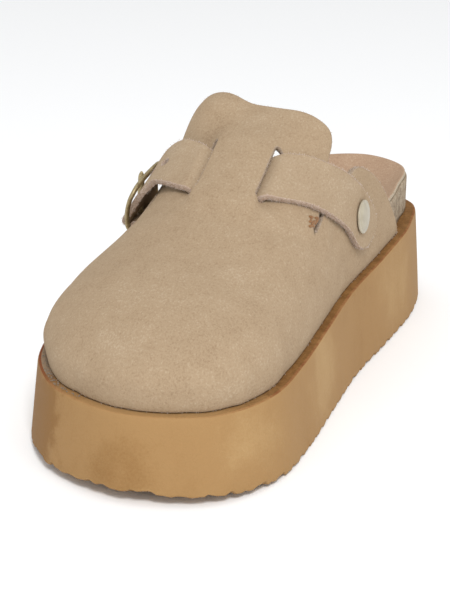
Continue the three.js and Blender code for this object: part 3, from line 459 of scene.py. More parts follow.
def plane_to_flat(points):
    """Flat places of points on the instep plane, given as (across, up) in mm."""
    flat = []
    for across, up in points:
        rows_used = slice(0, REAR_ROWS) if across >= 0 else slice(len(BASES) - REAR_ROWS, len(BASES))
        sections, walked = SECTIONS[rows_used], WALKED[rows_used]
        off = np.abs(sections[..., 0] - RIDGE_X)
        height = np.array([np.interp(abs(across), o, s) for o, s in zip(off, sections[..., 2])])
        gone = np.array([np.interp(abs(across), o, s) for o, s in zip(off, walked)])
        y = sections[:, 0, 1]
        ups = (y - INSTEP_ORIGIN[1]) * INSTEP_UP[1] + (height - INSTEP_ORIGIN[2]) * INSTEP_UP[2]
        order = np.argsort(ups)
        here = np.interp(up, ups[order], y[order])
        way = np.interp(up, ups[order], gone[order])
        flat.append((RIDGE_X + math.copysign(way, across), here))
    return np.array(flat)


# %% Slot across
def slot_across(side):
    """How far a slot's middle lies from the ridge, on either side."""
    return SLOT_SPACING / 2 + side * SLOT_OFFSET


def height_to_flat(y, side, height):
    """The flat place, on one side, where the section at y has this height."""
    index = (REAR_END - y) / (REAR_END - PIVOT_Y) * REAR_ROWS
    i = int(round(index if side > 0 else len(BASES) - 1 - index))
    section, walked = SECTIONS[i], WALKED[i]
    way = np.interp(-height, -section[:, 2], walked)
    return RIDGE_X + side * way, y

# %% [markdown]
# A flat piece is filled with even triangles, cut by closed lines. Then every corner gets its place
# in space, a second face lies one thickness below, and a rounded wall joins the two along each cut.
# The rounded wall matters: a perfectly sharp edge never catches light as suede does.

# %% From flat pieces to sheets with thickness
FINE = 1.25


def even_line(points, spacing, closed=True):
    """The same line with corners spaced evenly."""
    points = np.asarray(points, float)
    if closed:
        points = np.vstack([points, points[:1]])
    way = np.concatenate([[0], np.cumsum(np.linalg.norm(np.diff(points, axis=0), axis=1))])
    count = max(3, int(round(way[-1] / spacing)))
    at = np.linspace(0, way[-1], count + (0 if closed else 1), endpoint=not closed)
    return np.stack([np.interp(at, way, points[:, k]) for k in range(2)], -1)


def counter_clockwise(line):
    after = np.roll(line, -1, 0)
    area = np.sum(line[:, 0] * after[:, 1] - line[:, 1] * after[:, 0])
    return line if area > 0 else line[::-1]


def fill_flat(lines, keep, spacing):
    """Triangles inside closed lines. keep says, from the lines a triangle lies in, if it stays."""
    lines = [counter_clockwise(line) for line in lines]
    corners = np.vstack(lines)
    starts = np.cumsum([0] + [len(line) for line in lines])
    faces = [list(range(a, b)) for a, b in zip(starts[:-1], starts[1:])]
    tree = KDTree(len(corners))
    for i, (x, y) in enumerate(corners):
        tree.insert((x, y, 0), i)
    tree.balance()
    low, high = corners.min(0), corners.max(0)
    inside = []
    row_step = spacing * math.sqrt(0.75)
    for row, y in enumerate(np.arange(low[1], high[1], row_step)):
        for x in np.arange(low[0] + (row % 2) * spacing / 2, high[0], spacing):
            if tree.find((x, y, 0))[2] > spacing * 0.62:
                inside.append((x, y))
    everything = [Vector(p) for p in np.vstack([corners, np.array(inside)]).tolist()]
    points, _, triangles, _, _, origins = delaunay_2d_cdt(everything, [], faces, 0, 1e-4, True)
    kept = [t for t, origin in zip(triangles, origins) if keep(set(origin))]
    points = np.array([tuple(p) for p in points])
    used, kept = np.unique(np.array(kept), return_inverse=True)
    return points[used], kept.reshape(-1, 3)


# %% Border loops
def border_loops(triangles):
    """The borders of a sheet of triangles, each as a ring of corner numbers."""
    edges = {}
    for a, b, c in triangles.tolist():
        for pair in ((a, b), (b, c), (c, a)):
            edges[pair] = True
    after = {a: b for a, b in edges if (b, a) not in edges}
    loops = []
    while after:
        start, here = next(iter(after.items()))
        loop = [start]
        del after[start]
        while here != start:
            loop.append(here)
            here = after.pop(here)
        loops.append(np.array(loop))
    return loops


def corner_normals(points, triangles):
    """Area-weighted directions at the corners of a sheet."""
    a, b, c = (points[triangles[:, k]] for k in range(3))
    face = np.cross(b - a, c - a)
    total = np.zeros_like(points)
    for k in range(3):
        np.add.at(total, triangles[:, k], face)
    return unit(total)


# %% Loose ends
def loose_ends(triangles, count):
    """Keeps the largest connected part of a sheet and drops chips."""
    parent = list(range(count))

    def find(i):
        while parent[i] != i:
            parent[i] = parent[parent[i]]
            i = parent[i]
        return i

    for a, b, c in triangles.tolist():
        ra, rb, rc = find(a), find(b), find(c)
        parent[rb] = ra
        parent[rc] = ra
    roots = np.array([find(t[0]) for t in triangles.tolist()])
    names, sizes = np.unique(roots, return_counts=True)
    return triangles[roots == names[np.argmax(sizes)]]


def thick_sheet(points, triangles, thickness, roundness=0.45):
    """Corners, faces and a flag for cut faces, of a sheet given thickness below its top face."""
    normals = corner_normals(points, triangles)
    top = points.copy()
    count = len(points)
    corners = [top, points - normals * thickness]
    faces = [triangles, triangles[:, ::-1] + count]
    cut = [np.zeros(2 * len(triangles), bool)]
    total = 2 * count
    for loop in border_loops(triangles):
        here = points[loop]
        way = unit(np.roll(here, -1, 0) - np.roll(here, 1, 0))
        out = unit(np.cross(way, normals[loop]))
        top[loop] = here - out * roundness
        corners[1][loop] = here - out * roundness - normals[loop] * thickness
        depth = [
            0.3 * roundness, roundness, thickness / 2,
            thickness - roundness, thickness - 0.3 * roundness,
        ]
        inset = [0.3 * roundness, 0, -0.08, 0, 0.3 * roundness]
        rings = [loop]
        for inwards, below in zip(inset, depth):
            corners.append(here - out * inwards - normals[loop] * below)
            rings.append(np.arange(total, total + len(loop)))
            total += len(loop)
        rings.append(loop + count)
        for upper_ring, lower_ring in zip(rings[:-1], rings[1:]):
            a, b = upper_ring, np.roll(upper_ring, -1)
            c, d = np.roll(lower_ring, -1), lower_ring
            faces += [np.stack([b, a, d], -1), np.stack([b, d, c], -1)]
            cut.append(np.ones(2 * len(loop), bool))
    return np.vstack(corners), np.vstack(faces), np.concatenate(cut)


# %% Make piece
def make_piece(name, corners, faces, parts=None, smooth=True):
    """A named mesh from corners in shoe millimetres. parts gives each face its material number."""
    mesh = bpy.data.meshes.new(name)
    metres = (np.asarray(corners, float) + SHOE_SHIFT) * MM
    mesh.from_pydata(metres.tolist(), [], [list(face) for face in faces])
    if parts is not None:
        mesh.polygons.foreach_set("material_index", np.asarray(parts, np.int32))
    mesh.validate()
    mesh.update()
    if smooth:
        mesh.shade_smooth()
    piece = bpy.data.objects.new(name, mesh)
    bpy.context.scene.collection.objects.link(piece)
    return piece


def face_outwards(piece):
    """Joins doubled corners, then turns every face to look outwards."""
    bpy.ops.object.select_all(action="DESELECT")
    piece.select_set(True)
    bpy.context.view_layer.objects.active = piece
    bpy.ops.object.mode_set(mode="EDIT")
    bpy.ops.mesh.select_all(action="SELECT")
    bpy.ops.mesh.remove_doubles(threshold=1e-6)
    bpy.ops.mesh.normals_make_consistent(inside=False)
    bpy.ops.object.mode_set(mode="OBJECT")


# %% [markdown]
# Five lines cut the upper: the ledge all round, the opening for the foot, the tongue that stays
# inside that opening, the two slits beside the tongue, and the two slots for the strap. A maker cuts
# them with one knife in one stroke. Each is a short function here, so one line can be moved alone.

# %% The upper's cutting lines


def smooth_line(points, count):
    """An even curve through a few points, by the same rule as the sole's outline."""
    points = np.asarray(points, float)
    place = np.linspace(0, len(points) - 1, count)
    i = np.minimum(place.astype(int), len(points) - 2)
    w = (place - i)[:, None]
    pick = lambda k: points[np.clip(i + k, 0, len(points) - 1)]
    p0, p1, p2, p3 = pick(-1), pick(0), pick(1), pick(2)
    return 0.5 * (
        2 * p1 + (p2 - p0) * w + (2 * p0 - 5 * p1 + 4 * p2 - p3) * w**2 + (3 * p1 - p0 - 3 * p2 + p3) * w**3
    )


def ledge_line():
    """The ledge in the flat: as far from the ridge as each section is long."""
    away = BASES - np.stack([np.full(len(BASES), RIDGE_X), np.maximum(BASES[:, 1], PIVOT_Y)], -1)
    away[:REAR_ROWS, 1] = 0
    away[-REAR_ROWS:, 1] = 0
    centre = np.stack([np.full(len(BASES), RIDGE_X), np.maximum(BASES[:, 1], PIVOT_Y)], -1)
    return centre + unit(away) * GIRTH[:, None]


UNDER_STRAP_RISE = 3.0


# %% Wing line
def wing_line(side):
    """A wing's top edge in the flat, from the slit back to the ledge. Under the strap the outer
    wing stands a little higher."""
    along = np.linspace(0.42, 0.8, 90)
    y = y_of(along)
    height = platform_top(y) + INSTEP_RISE * read_table(WING_EDGE, "rise", along)
    if side < 0:
        height = height + UNDER_STRAP_RISE * (1 - smoothstep(along, 0.47, 0.56))
    return np.array([height_to_flat(a, side, h) for a, h in zip(y, height)])


def tongue_line():
    drawn = [(a * TONGUE_WIDTH, u * SLOT_LENGTH) for a, u in TONGUE_EDGE]
    return plane_to_flat(smooth_line(drawn, 200))


def slit_line(side):
    """A narrow cut between tongue and wing."""
    drawn = [(a * TONGUE_WIDTH, u * SLOT_LENGTH) for a, u in TONGUE_EDGE if a * side > 0 and u < 1.2]
    drawn.sort(key=lambda place: place[1])
    line = smooth_line(drawn, 60)
    return np.vstack([plane_to_flat(line), plane_to_flat(line + [SLIT_WIDTH * side, 0])[::-1]])


# %% Slot line
def slot_line(side):
    """A slot with round ends, wide enough for the strap to come up through it."""
    turn = np.linspace(0, math.pi, 12)
    top = np.stack([SLOT_HOLE * np.cos(turn), SLOT_LENGTH / 2 + SLOT_HOLE * np.sin(turn)], -1)
    drawn = np.vstack([top, [0, FRONT_TUCK] - top])
    middle = side * (slot_across(side) + SLOT_HOLE)
    return plane_to_flat([(middle + a - SLOT_TILT * u, u) for a, u in drawn])


def upper_flat():
    """The upper's flat corners and triangles."""
    ledge = ledge_line()
    outer_wing, inner_wing = wing_line(-1), wing_line(1)
    far = np.array([[120.0, REAR_END + 20], [-120.0, REAR_END + 20]])
    opening = np.vstack([
        outer_wing, [outer_wing[-1] + [-20, 6]], far[::-1],
        [inner_wing[-1] + [20, 6]], inner_wing[::-1],
    ])
    tongue = tongue_line()
    front = np.vstack(
        [
            tongue,
            [tongue[-1] + [-25, 0], (-120, tongue[-1][1]), (-120, PIVOT_Y), (120, PIVOT_Y)],
            [(120, tongue[0][1])],
        ]
    )
    lines = [ledge, opening, front, slit_line(1), slit_line(-1), slot_line(1), slot_line(-1)]
    lines = [even_line(line, FINE * (0.8 if i < 3 else 0.6)) for i, line in enumerate(lines)]

    def keep(origin):
        if 0 not in origin or origin & {3, 4, 5, 6}:
            return False
        return 1 not in origin or 2 in origin

    points, triangles = fill_flat(lines, keep, FINE)
    return points, loose_ends(triangles, len(points))


# %% [markdown]
# The strip between the slots rides over the strap, and the tongue's outer corner curls up. Soft
# creases follow where the suede was pulled over the last: each row is a short line in the flat,
# with the width and the height of a soft trough (below zero) or ridge. Creases from a noise texture would wander
# anywhere, while real ones start at slits, slots and the toe's edge.

# %% Lifts and creases
CREASES = rows(
    "x0 y0 x1 y1 width height",
    (34, -30, 20, -46, 4.5, -0.55),
    (38, -34, 27, -52, 4.0, 0.35),
    (-34, -34, -22, -48, 5.0, -0.6),
    (-40, -38, -26, -56, 4.5, 0.4),
    (-14, -40, 8, -46, 6.0, -0.28),
    (-24, -62, 16, -66, 9.0, -0.3),
    (14, -52, 34, -60, 7.0, 0.3),
    (-46, -66, -60, -78, 5.0, -0.45),
    (-40, -92, -56, -100, 4.0, 0.4),
    (-20, -128, -26, -143, 3.5, -0.35),
    (6, -132, 8, -146, 3.5, -0.3),
    (30, -126, 38, -138, 3.5, -0.35),
    (44, -108, 56, -116, 4.0, 0.4),
    (52, -70, 66, -78, 5.0, -0.35),
    (-26, 24, -8, 8, 6.5, -1.1),
    (8, 20, 26, 12, 8.0, 0.5),
    (40, 2, 54, -12, 6.0, -0.45),
    (-52, -6, -62, -22, 6.0, -0.45),
)


# %% Crease height
def crease_height(flat):
    """How far the creases push the suede out at each flat point."""
    total = np.zeros(len(flat))
    for row in CREASES:
        start, end = np.array([row["x0"], row["y0"]]), np.array([row["x1"], row["y1"]])
        line = end - start
        share = ((flat - start) @ line) / (line @ line)
        off = np.linalg.norm(flat - start - np.clip(share, 0, 1)[:, None] * line, axis=1)
        fade = smoothstep(share, -0.35, 0.2) * (1 - smoothstep(share, 0.7, 1.3))
        total += row["height"] * fade * np.exp(-((off / row["width"]) ** 2))
    return total


LIP_PRESS = -1.3


def slot_places(point):
    """How far each point lies outside the strip between the slots, and how far up along it."""
    along = (point[:, 1] - INSTEP_Y) / math.cos(INSTEP_SLOPE)
    across = np.abs(point[:, 0] - RIDGE_X - SLOT_OFFSET + SLOT_TILT * along)
    return across - SLOT_SPACING / 2, np.abs(along)


# %% Centre lift
def centre_lift(point):
    outside, along = slot_places(point)
    past_slot = smoothstep(along, SLOT_LENGTH / 2, SLOT_LENGTH * 0.9)
    over_strap = 1 - smoothstep(outside, 0.6 - 4 * past_slot, 2.6 + 5 * past_slot)
    return CENTRE_LIFT * over_strap * (1 - smoothstep(along, SLOT_LENGTH * 0.5, SLOT_LENGTH * 1.15))


def lip_press(point):
    """The strap presses the slot's outer lip down."""
    outside, along = slot_places(point)
    lip = (outside > SLOT_HOLE) * (1 - smoothstep(outside, 2 * SLOT_HOLE, 2 * SLOT_HOLE + 8))
    return LIP_PRESS * lip * (1 - smoothstep(along, SLOT_LENGTH / 2 - 3, SLOT_LENGTH / 2 + 2.5))


def tongue_lift(point):
    across = (RIDGE_X - point[:, 0]) / TONGUE_WIDTH
    along = (point[:, 1] - INSTEP_Y) / math.cos(INSTEP_SLOPE) / SLOT_LENGTH
    corner = np.exp(-(((across - 0.35) / 0.18) ** 2))
    return TONGUE_LIFT * corner * smoothstep(along, 0.6, 1.5)


def build_upper():
    flat, triangles = upper_flat()
    surface = soft_surface(flat)
    normal = last_normal(flat, 1.5)
    lift = centre_lift(surface) + lip_press(surface) + tongue_lift(surface) + crease_height(flat)
    points = surface + normal * lift[:, None]
    used, triangles = np.unique(triangles, return_inverse=True)
    triangles = triangles.reshape(-1, 3)
    points, flat = points[used], flat[used]
    a, b, c = (points[triangles[:, k]] for k in range(3))
    if np.cross(b - a, c - a)[:, 2].sum() < 0:
        triangles = triangles[:, ::-1]
    corners, faces, cut = thick_sheet(points, triangles, UPPER_WALL)
    return make_piece("suede_upper", corners, faces, cut.astype(int))


upper = build_upper()
print("upper:", len(upper.data.polygons), "faces")

# %% [markdown]
# The strap is a flat band laid over the last. A station is a place along it with its own
# directions; between the slots it dives under the upper, and beside the buckle it stands off. A
# cloth simulation could lay it down, but wouldn't stop at the same place as the photographed one.

# %% The strap's route
EYE_RADIUS = FRAME_BAR / 2 + GAP * 1.3
HINGE_LIFT = GAP + TAB_THICKNESS + EYE_RADIUS + HINGE_CLEARANCE
OVER_HINGE = HINGE_LIFT + EYE_RADIUS + TAB_THICKNESS + GAP + HINGE_CLEARANCE
TAB_TOP = GAP + TAB_THICKNESS
STANDOFF = rows(
    "around lift",
    (-0.9, OVER_HINGE * 0.8), (-0.755, OVER_HINGE * 0.88), (HINGE_AROUND, OVER_HINGE * 0.92),
    (-0.62, OVER_HINGE * 0.6), (OUTER_BAR_AROUND, OVER_HINGE * 0.56), (-0.38, OVER_HINGE * 0.54),
    (-0.3, OVER_HINGE * 0.38),
    (-0.22, OVER_HINGE * 0.15), (-0.12, GAP), (1, GAP),
)


def strap_lift(around, gone):
    under = CENTRE_LIFT - UPPER_WALL - 2 * GAP - STRAP_THICKNESS
    rise = smoothstep(np.abs(gone) - slot_across(np.sign(around)), -1.2, 4.8)
    return lerp(under, read_table(STANDOFF, "lift", around, "around"), rise)


def strap_middle(around):
    """Flat places, points, girths and ways down the section along the strap's middle."""
    side = np.where(around < 0, -1.0, 1.0)
    inner = read_table(STRAP_ROUTE, "inner", np.abs(around), "around")
    outer = read_table(STRAP_ROUTE, "outer", np.abs(around), "around")
    y = y_of(np.where(side > 0, inner, outer))
    probe = np.stack([RIDGE_X + side * 1.0, y], -1)
    index, _ = section_index(probe)
    i = index.astype(int)
    girth = lerp(GIRTH[i], GIRTH[i + 1], index - i)
    gone = np.abs(around) * girth
    flat = np.stack([RIDGE_X + side * gone, y], -1)
    return flat, last_surface(flat), girth, gone


# %% Strap stations
def strap_stations(around):
    """Everything a band needs at each station."""
    around = np.atleast_1d(np.asarray(around, float))
    flat, point, girth, gone = strap_middle(around)
    along = unit(strap_middle(around + 0.01)[1] - strap_middle(around - 0.01)[1])
    normal = last_normal(flat)
    across = unit(np.cross(normal, along))
    slot = slot_across(np.sign(around))
    turned = 1 - smoothstep(gone, slot + SLOT_RAMP, slot + SLOT_RAMP * 4)
    skew = turned * (along @ SLOT_LINE) / (across @ SLOT_LINE)
    side = np.where(around < 0, -1.0, 1.0)
    return dict(around=around, flat=flat, point=point, girth=girth, gone=gone, along=along,
                normal=normal, across=across, skew=skew, side=side)


def nearest_flat(target, side):
    """Flat places on the last nearest to points beside it, looked for in the section at their y."""
    index, _ = section_index(np.stack([RIDGE_X + side * 1.0, target[:, 1]], -1))
    i = index.astype(int)
    w = (index - i)[:, None]
    section = lerp(SECTIONS[i], SECTIONS[i + 1], w[..., None])
    walked = lerp(WALKED[i], WALKED[i + 1], w)
    a, b = section[:, :-1], section[:, 1:]
    line = b - a
    share = np.clip(np.sum((target[:, None] - a) * line, -1) / np.maximum(np.sum(line**2, -1), 1e-9), 0, 1)
    off = np.linalg.norm(a + line * share[..., None] - target[:, None], axis=-1)
    best = np.argmin(off, axis=1)
    pick = np.arange(len(target))
    gone = lerp(walked[pick, best], walked[pick, best + 1], share[pick, best])
    return np.stack([RIDGE_X + side * gone, target[:, 1]], -1)


# %% Band points
def band_points(stations, across, along, lift):
    """Points of a band over the last, at a distance across and along from each station."""
    target = stations["point"] + stations["across"] * across[:, None] + stations["along"] * along[:, None]
    flat = nearest_flat(target, stations["side"])
    return last_surface(flat) + last_normal(flat) * np.asarray(lift)[:, None]


HINGE = strap_stations(HINGE_AROUND)
RIVET = strap_stations(RIVET_AROUND)
STRAP_END_AROUND = RIVET_AROUND + STRAP_END / float(RIVET["girth"][0])
MEAN_GIRTH = float(HINGE["girth"][0])


def rounded_half(from_end, width):
    """Half a strap's width at a distance from its rounded end."""
    radius = width * 0.42
    near = 1 - np.minimum(from_end, radius) / radius
    return width / 2 - radius * (1 - np.sqrt(np.maximum(0, 1 - near**2)))


def strap_half(around):
    girth = strap_middle(around)[2]
    from_end = np.minimum(STRAP_END_AROUND - around, around - STRAP_TIP_AROUND) * girth
    width = lerp(STRAP_MIDDLE_WIDTH, STRAP_WIDTH, smoothstep(np.abs(around), 0.2, 0.5))
    return rounded_half(from_end, width)


# %% Circle
def circle(centre, radius, count=20):
    turn = np.linspace(0, 2 * math.pi, count, endpoint=False)
    return np.stack([centre[0] + radius * np.cos(turn), centre[1] + radius * np.sin(turn)], -1)


def build_strap():
    fade = (1 - np.cos(np.linspace(0, math.pi, 600))) / 2
    around = lerp(STRAP_TIP_AROUND, STRAP_END_AROUND, fade)
    half = strap_half(around)
    tuck = FRONT_TUCK * (1 - smoothstep(np.abs(around), 0.25, 0.5))
    edge = np.vstack(
        [np.stack([around * MEAN_GIRTH, tuck - half], -1), np.stack([around * MEAN_GIRTH, half], -1)[::-1]]
    )
    hinge = HINGE_AROUND * MEAN_GIRTH
    holes = [circle((hinge + (count + 0.6) * 8, 0), 1.6) for count in (1, 2, 3)]
    holes.append(circle((hinge + 3.2, 0), 2.2))
    lines = [even_line(edge, 0.8)] + holes
    flat, triangles = fill_flat(lines, lambda origin: origin == {0}, 1.1)
    here = flat[:, 0] / MEAN_GIRTH
    stations = strap_stations(here)
    across = flat[:, 1]
    slant = STRAP_END_SLANT * smoothstep(here, 0.5, STRAP_END_AROUND)
    wave = 0.12 * np.sin(flat[:, 0] / 5.3) + 0.1 * np.sin(flat[:, 0] / 3.1 + across / 4)
    lift = strap_lift(here, stations["gone"])
    lift = lift + STRAP_THICKNESS + wave * smoothstep(np.abs(across), 5, 10)
    points = band_points(stations, across, across * (stations["skew"] + slant), lift)
    a, b, c = (points[triangles[:, k]] for k in range(3))
    middle = stations["normal"][triangles[:, 0]]
    if np.sum(np.cross(b - a, c - a) * middle) < 0:
        triangles = triangles[:, ::-1]
    corners, faces, cut = thick_sheet(points, triangles, STRAP_THICKNESS, 0.4)
    return make_piece("suede_strap", corners, faces, cut.astype(int))


strap = build_strap()
print("strap:", len(strap.data.polygons), "faces")

# %% [markdown]
# The platform is moulded in one go, and cork and cover lie in it like a tray. All three are skins
# over rings that share the sole's outline. A ring is an inset and a height. The tread's lugs are
# cut by one wavy height rule, because they have to end flush with the sole's side. Cutting them
# with booleans would leave thin slivers there.

# %% Platform, cork and cover
STATIONS = 900


def middle_line(y):
    """The sole's middle line, drawn in at both ends. Rings that move towards it never cross."""
    along = 0.5 + 0.72 * (along_of(y) - 0.5)
    across = (read_table(OUTLINE, "inner", along) + read_table(OUTLINE, "outer", along)) / 2
    return np.column_stack([BALL_WIDTH * across, y_of(along)])


def ring_piece(name, rings, spacing, part_of=None, bottom_rule=None, top_rule=None):
    """A solid skinned over rings, closed by even triangles at its first and last ring."""
    t = np.arange(STATIONS) / STATIONS
    corners, faces, parts = [], [], []
    for inset, height, *inward in rings:
        inset = inset(t) if callable(inset) else np.full(STATIONS, float(inset))
        flat = outline_point(t, inset)
        if inward:
            flat = lerp(flat, middle_line(flat[:, 1]), inward[0])
        corners.append(np.column_stack([flat, height(flat[:, 1], t) if height else np.zeros(STATIONS)]))
    for ring in range(len(rings) - 1):
        a = ring * STATIONS + np.arange(STATIONS)
        b = ring * STATIONS + (np.arange(STATIONS) + 1) % STATIONS
        faces += [np.stack([a, b, b + STATIONS], -1), np.stack([a, b + STATIONS, a + STATIONS], -1)]
        parts.append(np.full(2 * STATIONS, part_of[ring] if part_of else 0))
    total = len(rings) * STATIONS
    for ring, rule, turn in ((0, bottom_rule, -1), (len(rings) - 1, top_rule, 1)):
        line = corners[ring][:, :2]
        flat, triangles = fill_flat([line], lambda origin: 0 in origin, spacing)
        tree = KDTree(STATIONS)
        for i, (x, y) in enumerate(line):
            tree.insert((x, y, 0), i)
        tree.balance()
        number = np.empty(len(flat), int)
        extra = []
        for i, (x, y) in enumerate(flat):
            _, found, off = tree.find((x, y, 0))
            if off < 1e-3:
                number[i] = ring * STATIONS + found
            else:
                number[i] = total + len(extra)
                extra.append((x, y))
        extra = np.array(extra)
        corners.append(np.column_stack([extra, rule(extra)]))
        total += len(extra)
        a, b, c = (flat[triangles[:, k]] for k in range(3))
        area = (b - a)[:, 0] * (c - a)[:, 1] - (b - a)[:, 1] * (c - a)[:, 0]
        triangles = np.where((area > 0)[:, None] == (turn > 0), triangles, triangles[:, ::-1])
        faces.append(number[triangles])
        parts.append(np.full(len(triangles), (part_of[0] if turn < 0 else part_of[-1]) if part_of else 0))
    piece = make_piece(name, np.vstack(corners), np.vstack(faces), np.concatenate(parts))
    face_outwards(piece)
    return piece


# %% Tread
def tread(x, y):
    """How far the tread is cut up at each place: wavy cross grooves with soft shoulders."""
    wave = y + 2.6 * np.sin(2 * math.pi * x / 17) + 0.5 * np.sin(2 * math.pi * x / 7.3 + y)
    phase = np.abs((wave / LUG_PITCH) % 1 - 0.5) * 2
    groove = 1 - smoothstep(phase, 0.02, 0.62)
    fine = 0.5 + 0.5 * np.sin(2 * math.pi * (y + 0.8 * np.sin(x / 4.1)) / 3.7)
    pits = 0.35 * np.sin(x * 1.9 + 0.4 * y) * np.sin(y * 1.7)
    return LUG_DEPTH * 0.72 * groove + 0.45 * fine + 0.3 * np.maximum(pits, 0)


def tread_height(flat):
    return sole_bottom(flat[:, 1]) + tread(flat[:, 0], flat[:, 1])


def build_platform():
    def at(level, extra=0.0):
        def height(y, t):
            flat = outline_point(t, EDGE_CHAMFER)
            low = sole_bottom(y) + tread(flat[:, 0], flat[:, 1]) * (1 - level) ** 6
            return lerp(low, platform_top(y), level) + extra

        return height

    levels = [0.03, 0.06, 0.1, 0.16, 0.24, 0.33, 0.42, 0.52, 0.62, 0.72, 0.82, 0.9, 0.955]
    rings = [(EDGE_CHAMFER, at(0)), (EDGE_CHAMFER * 0.3, at(0, 0.25)), (0.05, at(0.015, 0.25))]
    rings += [(SIDE_FLARE * level**1.1, at(level)) for level in levels]
    rings += [
        (SIDE_FLARE + 0.02, lambda y, t: platform_top(y) - 0.75),
        (SIDE_FLARE + 0.22, lambda y, t: platform_top(y) - 0.28),
        (SIDE_FLARE + 0.62, lambda y, t: platform_top(y) - 0.04),
        (SIDE_FLARE + 1.1, lambda y, t: platform_top(y)),
        (SIDE_FLARE + LEDGE_WIDTH + 3, lambda y, t: platform_top(y)),
    ]
    part_of = [0] * (len(rings) - 4) + [2, 2, 1]
    return ring_piece(
        "foam_platform", rings, 1.7, part_of, tread_height, lambda flat: platform_top(flat[:, 1])
    )


platform = build_platform()
print("platform:", len(platform.data.polygons), "faces")

CORK_INSET = UPPER_INSET + UPPER_WALL + GAP


# %% Footbed inset
def footbed_inset(t):
    along = along_of(outline_point(t, 0)[:, 1])
    return CORK_INSET - (UPPER_WALL - 0.8) * smoothstep(along, 0.85, 0.92)


def rim_height(y, t):
    along = along_of(y)
    side = 0.5 - 0.5 * np.cos(2 * math.pi * t + math.pi / 2)
    inner, outer = (read_table(FOOTBED, column, along) for column in ("inner", "outer"))
    return platform_top(y) + RIM_HEIGHT * lerp(inner, outer, side)


def seat_height(y):
    return platform_top(y) + SEAT_HEIGHT * read_table(FOOTBED, "seat", along_of(y))


def cup(share, lift):
    return lambda y, t: lerp(seat_height(y), rim_height(y, t), (1 - share) ** 2) + lift


CUP_REACH = 0.62
CUP_SHARES = [0.03, 0.08, 0.15, 0.25, 0.35, 0.48, 0.6, 0.75, 0.9, 1]


# %% Build footbed
def build_footbed():
    inset = lambda extra: lambda t: footbed_inset(t) + extra
    rings = [(inset(0), lambda y, t: platform_top(y) + GAP)]
    rings += [
        (inset(0), lambda y, t, s=s: lerp(platform_top(y) + GAP, rim_height(y, t) - EDGE_CHAMFER, s))
        for s in (0.12, 0.3, 0.5, 0.7, 0.88, 1)
    ]
    rings += [
        (inset(0.25), lambda y, t: rim_height(y, t) - 0.25),
        (inset(EDGE_CHAMFER), lambda y, t: rim_height(y, t)),
    ]
    rings += [(inset(EDGE_CHAMFER), cup(s, 0), CUP_REACH * s) for s in CUP_SHARES]
    return ring_piece(
        "cork_footbed", rings, 4, None,
        lambda flat: platform_top(flat[:, 1]) + GAP, lambda flat: seat_height(flat[:, 1]),
    )


def build_cover():
    thick = GAP + COVER_THICKNESS
    inset = lambda extra: lambda t: footbed_inset(t) + EDGE_CHAMFER + extra
    rings = [(inset(0), cup(s, GAP), CUP_REACH * s) for s in CUP_SHARES[::-1]]
    rings += [
        (inset(0), cup(0, GAP)),
        (inset(-0.1), cup(0, thick * 0.45)),
        (inset(0.05), cup(0, thick * 0.75)),
        (inset(0.35), cup(0, thick * 0.95)),
        (inset(EDGE_CHAMFER), cup(0, thick)),
    ]
    rings += [(inset(EDGE_CHAMFER * (1 - s)), cup(s, thick), CUP_REACH * s) for s in CUP_SHARES]
    part_of = [0] * (len(CUP_SHARES) - 1) + [1] * 4 + [0] * (len(CUP_SHARES) + 1)
    return ring_piece(
        "suede_cover", rings, 3, part_of[: len(rings) - 1],
        lambda flat: seat_height(flat[:, 1]) + GAP, lambda flat: seat_height(flat[:, 1]) + thick,
    )


footbed = build_footbed()
cover = build_cover()
print("footbed:", len(footbed.data.polygons), "faces; cover:", len(cover.data.polygons), "faces")

# %% [markdown]
# A rivet is a turned part: one profile spun round its axis. The cap has a soft dome, a thin raised
# rim and a shallow ring where the press tool stood. Turning it in code keeps the profile readable.

# %% Rivets


def turned_piece(name, station, profile, sides=64):
    """A closed turned part standing on a station; the profile is (radius, height) from axis to axis."""
    turn = np.linspace(0, 2 * math.pi, sides, endpoint=False)
    axes = (station["across"][0], station["along"][0], station["normal"][0], station["point"][0])
    across, along, normal, point = axes
    corners, faces, rings = [], [], []
    for radius, height in profile:
        if radius < 1e-6:
            rings.append([len(corners)] * sides)
            corners.append(point + normal * height)
        else:
            rings.append(list(range(len(corners), len(corners) + sides)))
            corners += [
                point + radius * (math.cos(a) * across + math.sin(a) * along) + normal * height
                for a in turn
            ]
    for low, high in zip(rings[:-1], rings[1:]):
        for k in range(sides):
            face = [low[k], low[(k + 1) % sides], high[(k + 1) % sides], high[k]]
            face = list(dict.fromkeys(face))
            if len(face) > 2:
                faces.append(face)
    piece = make_piece(name, corners, faces)
    face_outwards(piece)
    return piece


# %% Rivet profile
def rivet_profile(radius, dome, seat, shank=1.3, head=0.8):
    inside = -UPPER_WALL - GAP - 0.5
    cap = [(1.0, 0.12), (1.0, 0.3), (0.985, 0.42), (0.95, 0.5), (0.9, 0.52), (0.87, 0.5), (0.84, 0.52)]
    cap += [(math.sin(a) * 0.82, 0.5 + 0.5 * math.cos(a)) for a in np.linspace(1.45, 0.15, 14)]
    return (
        [(0, inside - head), (radius * 0.5, inside - head), (radius * 0.6, inside - head * 0.6)]
        + [(radius * 0.6, inside), (shank, inside), (shank, seat), (radius * 0.93, seat)]
        + [(radius * r, seat + dome * h) for r, h in cap]
        + [(0, seat + dome)]
    )


SEAT = GAP + STRAP_THICKNESS + GAP
rivet = turned_piece("rivet_cap", RIVET, rivet_profile(RIVET_DIAMETER / 2, 1.8, SEAT))
TAB_RIVET = strap_stations(TAB_RIVET_AROUND)
tab_rivet = turned_piece("tab_rivet_cap", TAB_RIVET, rivet_profile(4, 1.0, TAB_TOP + GAP), 40)

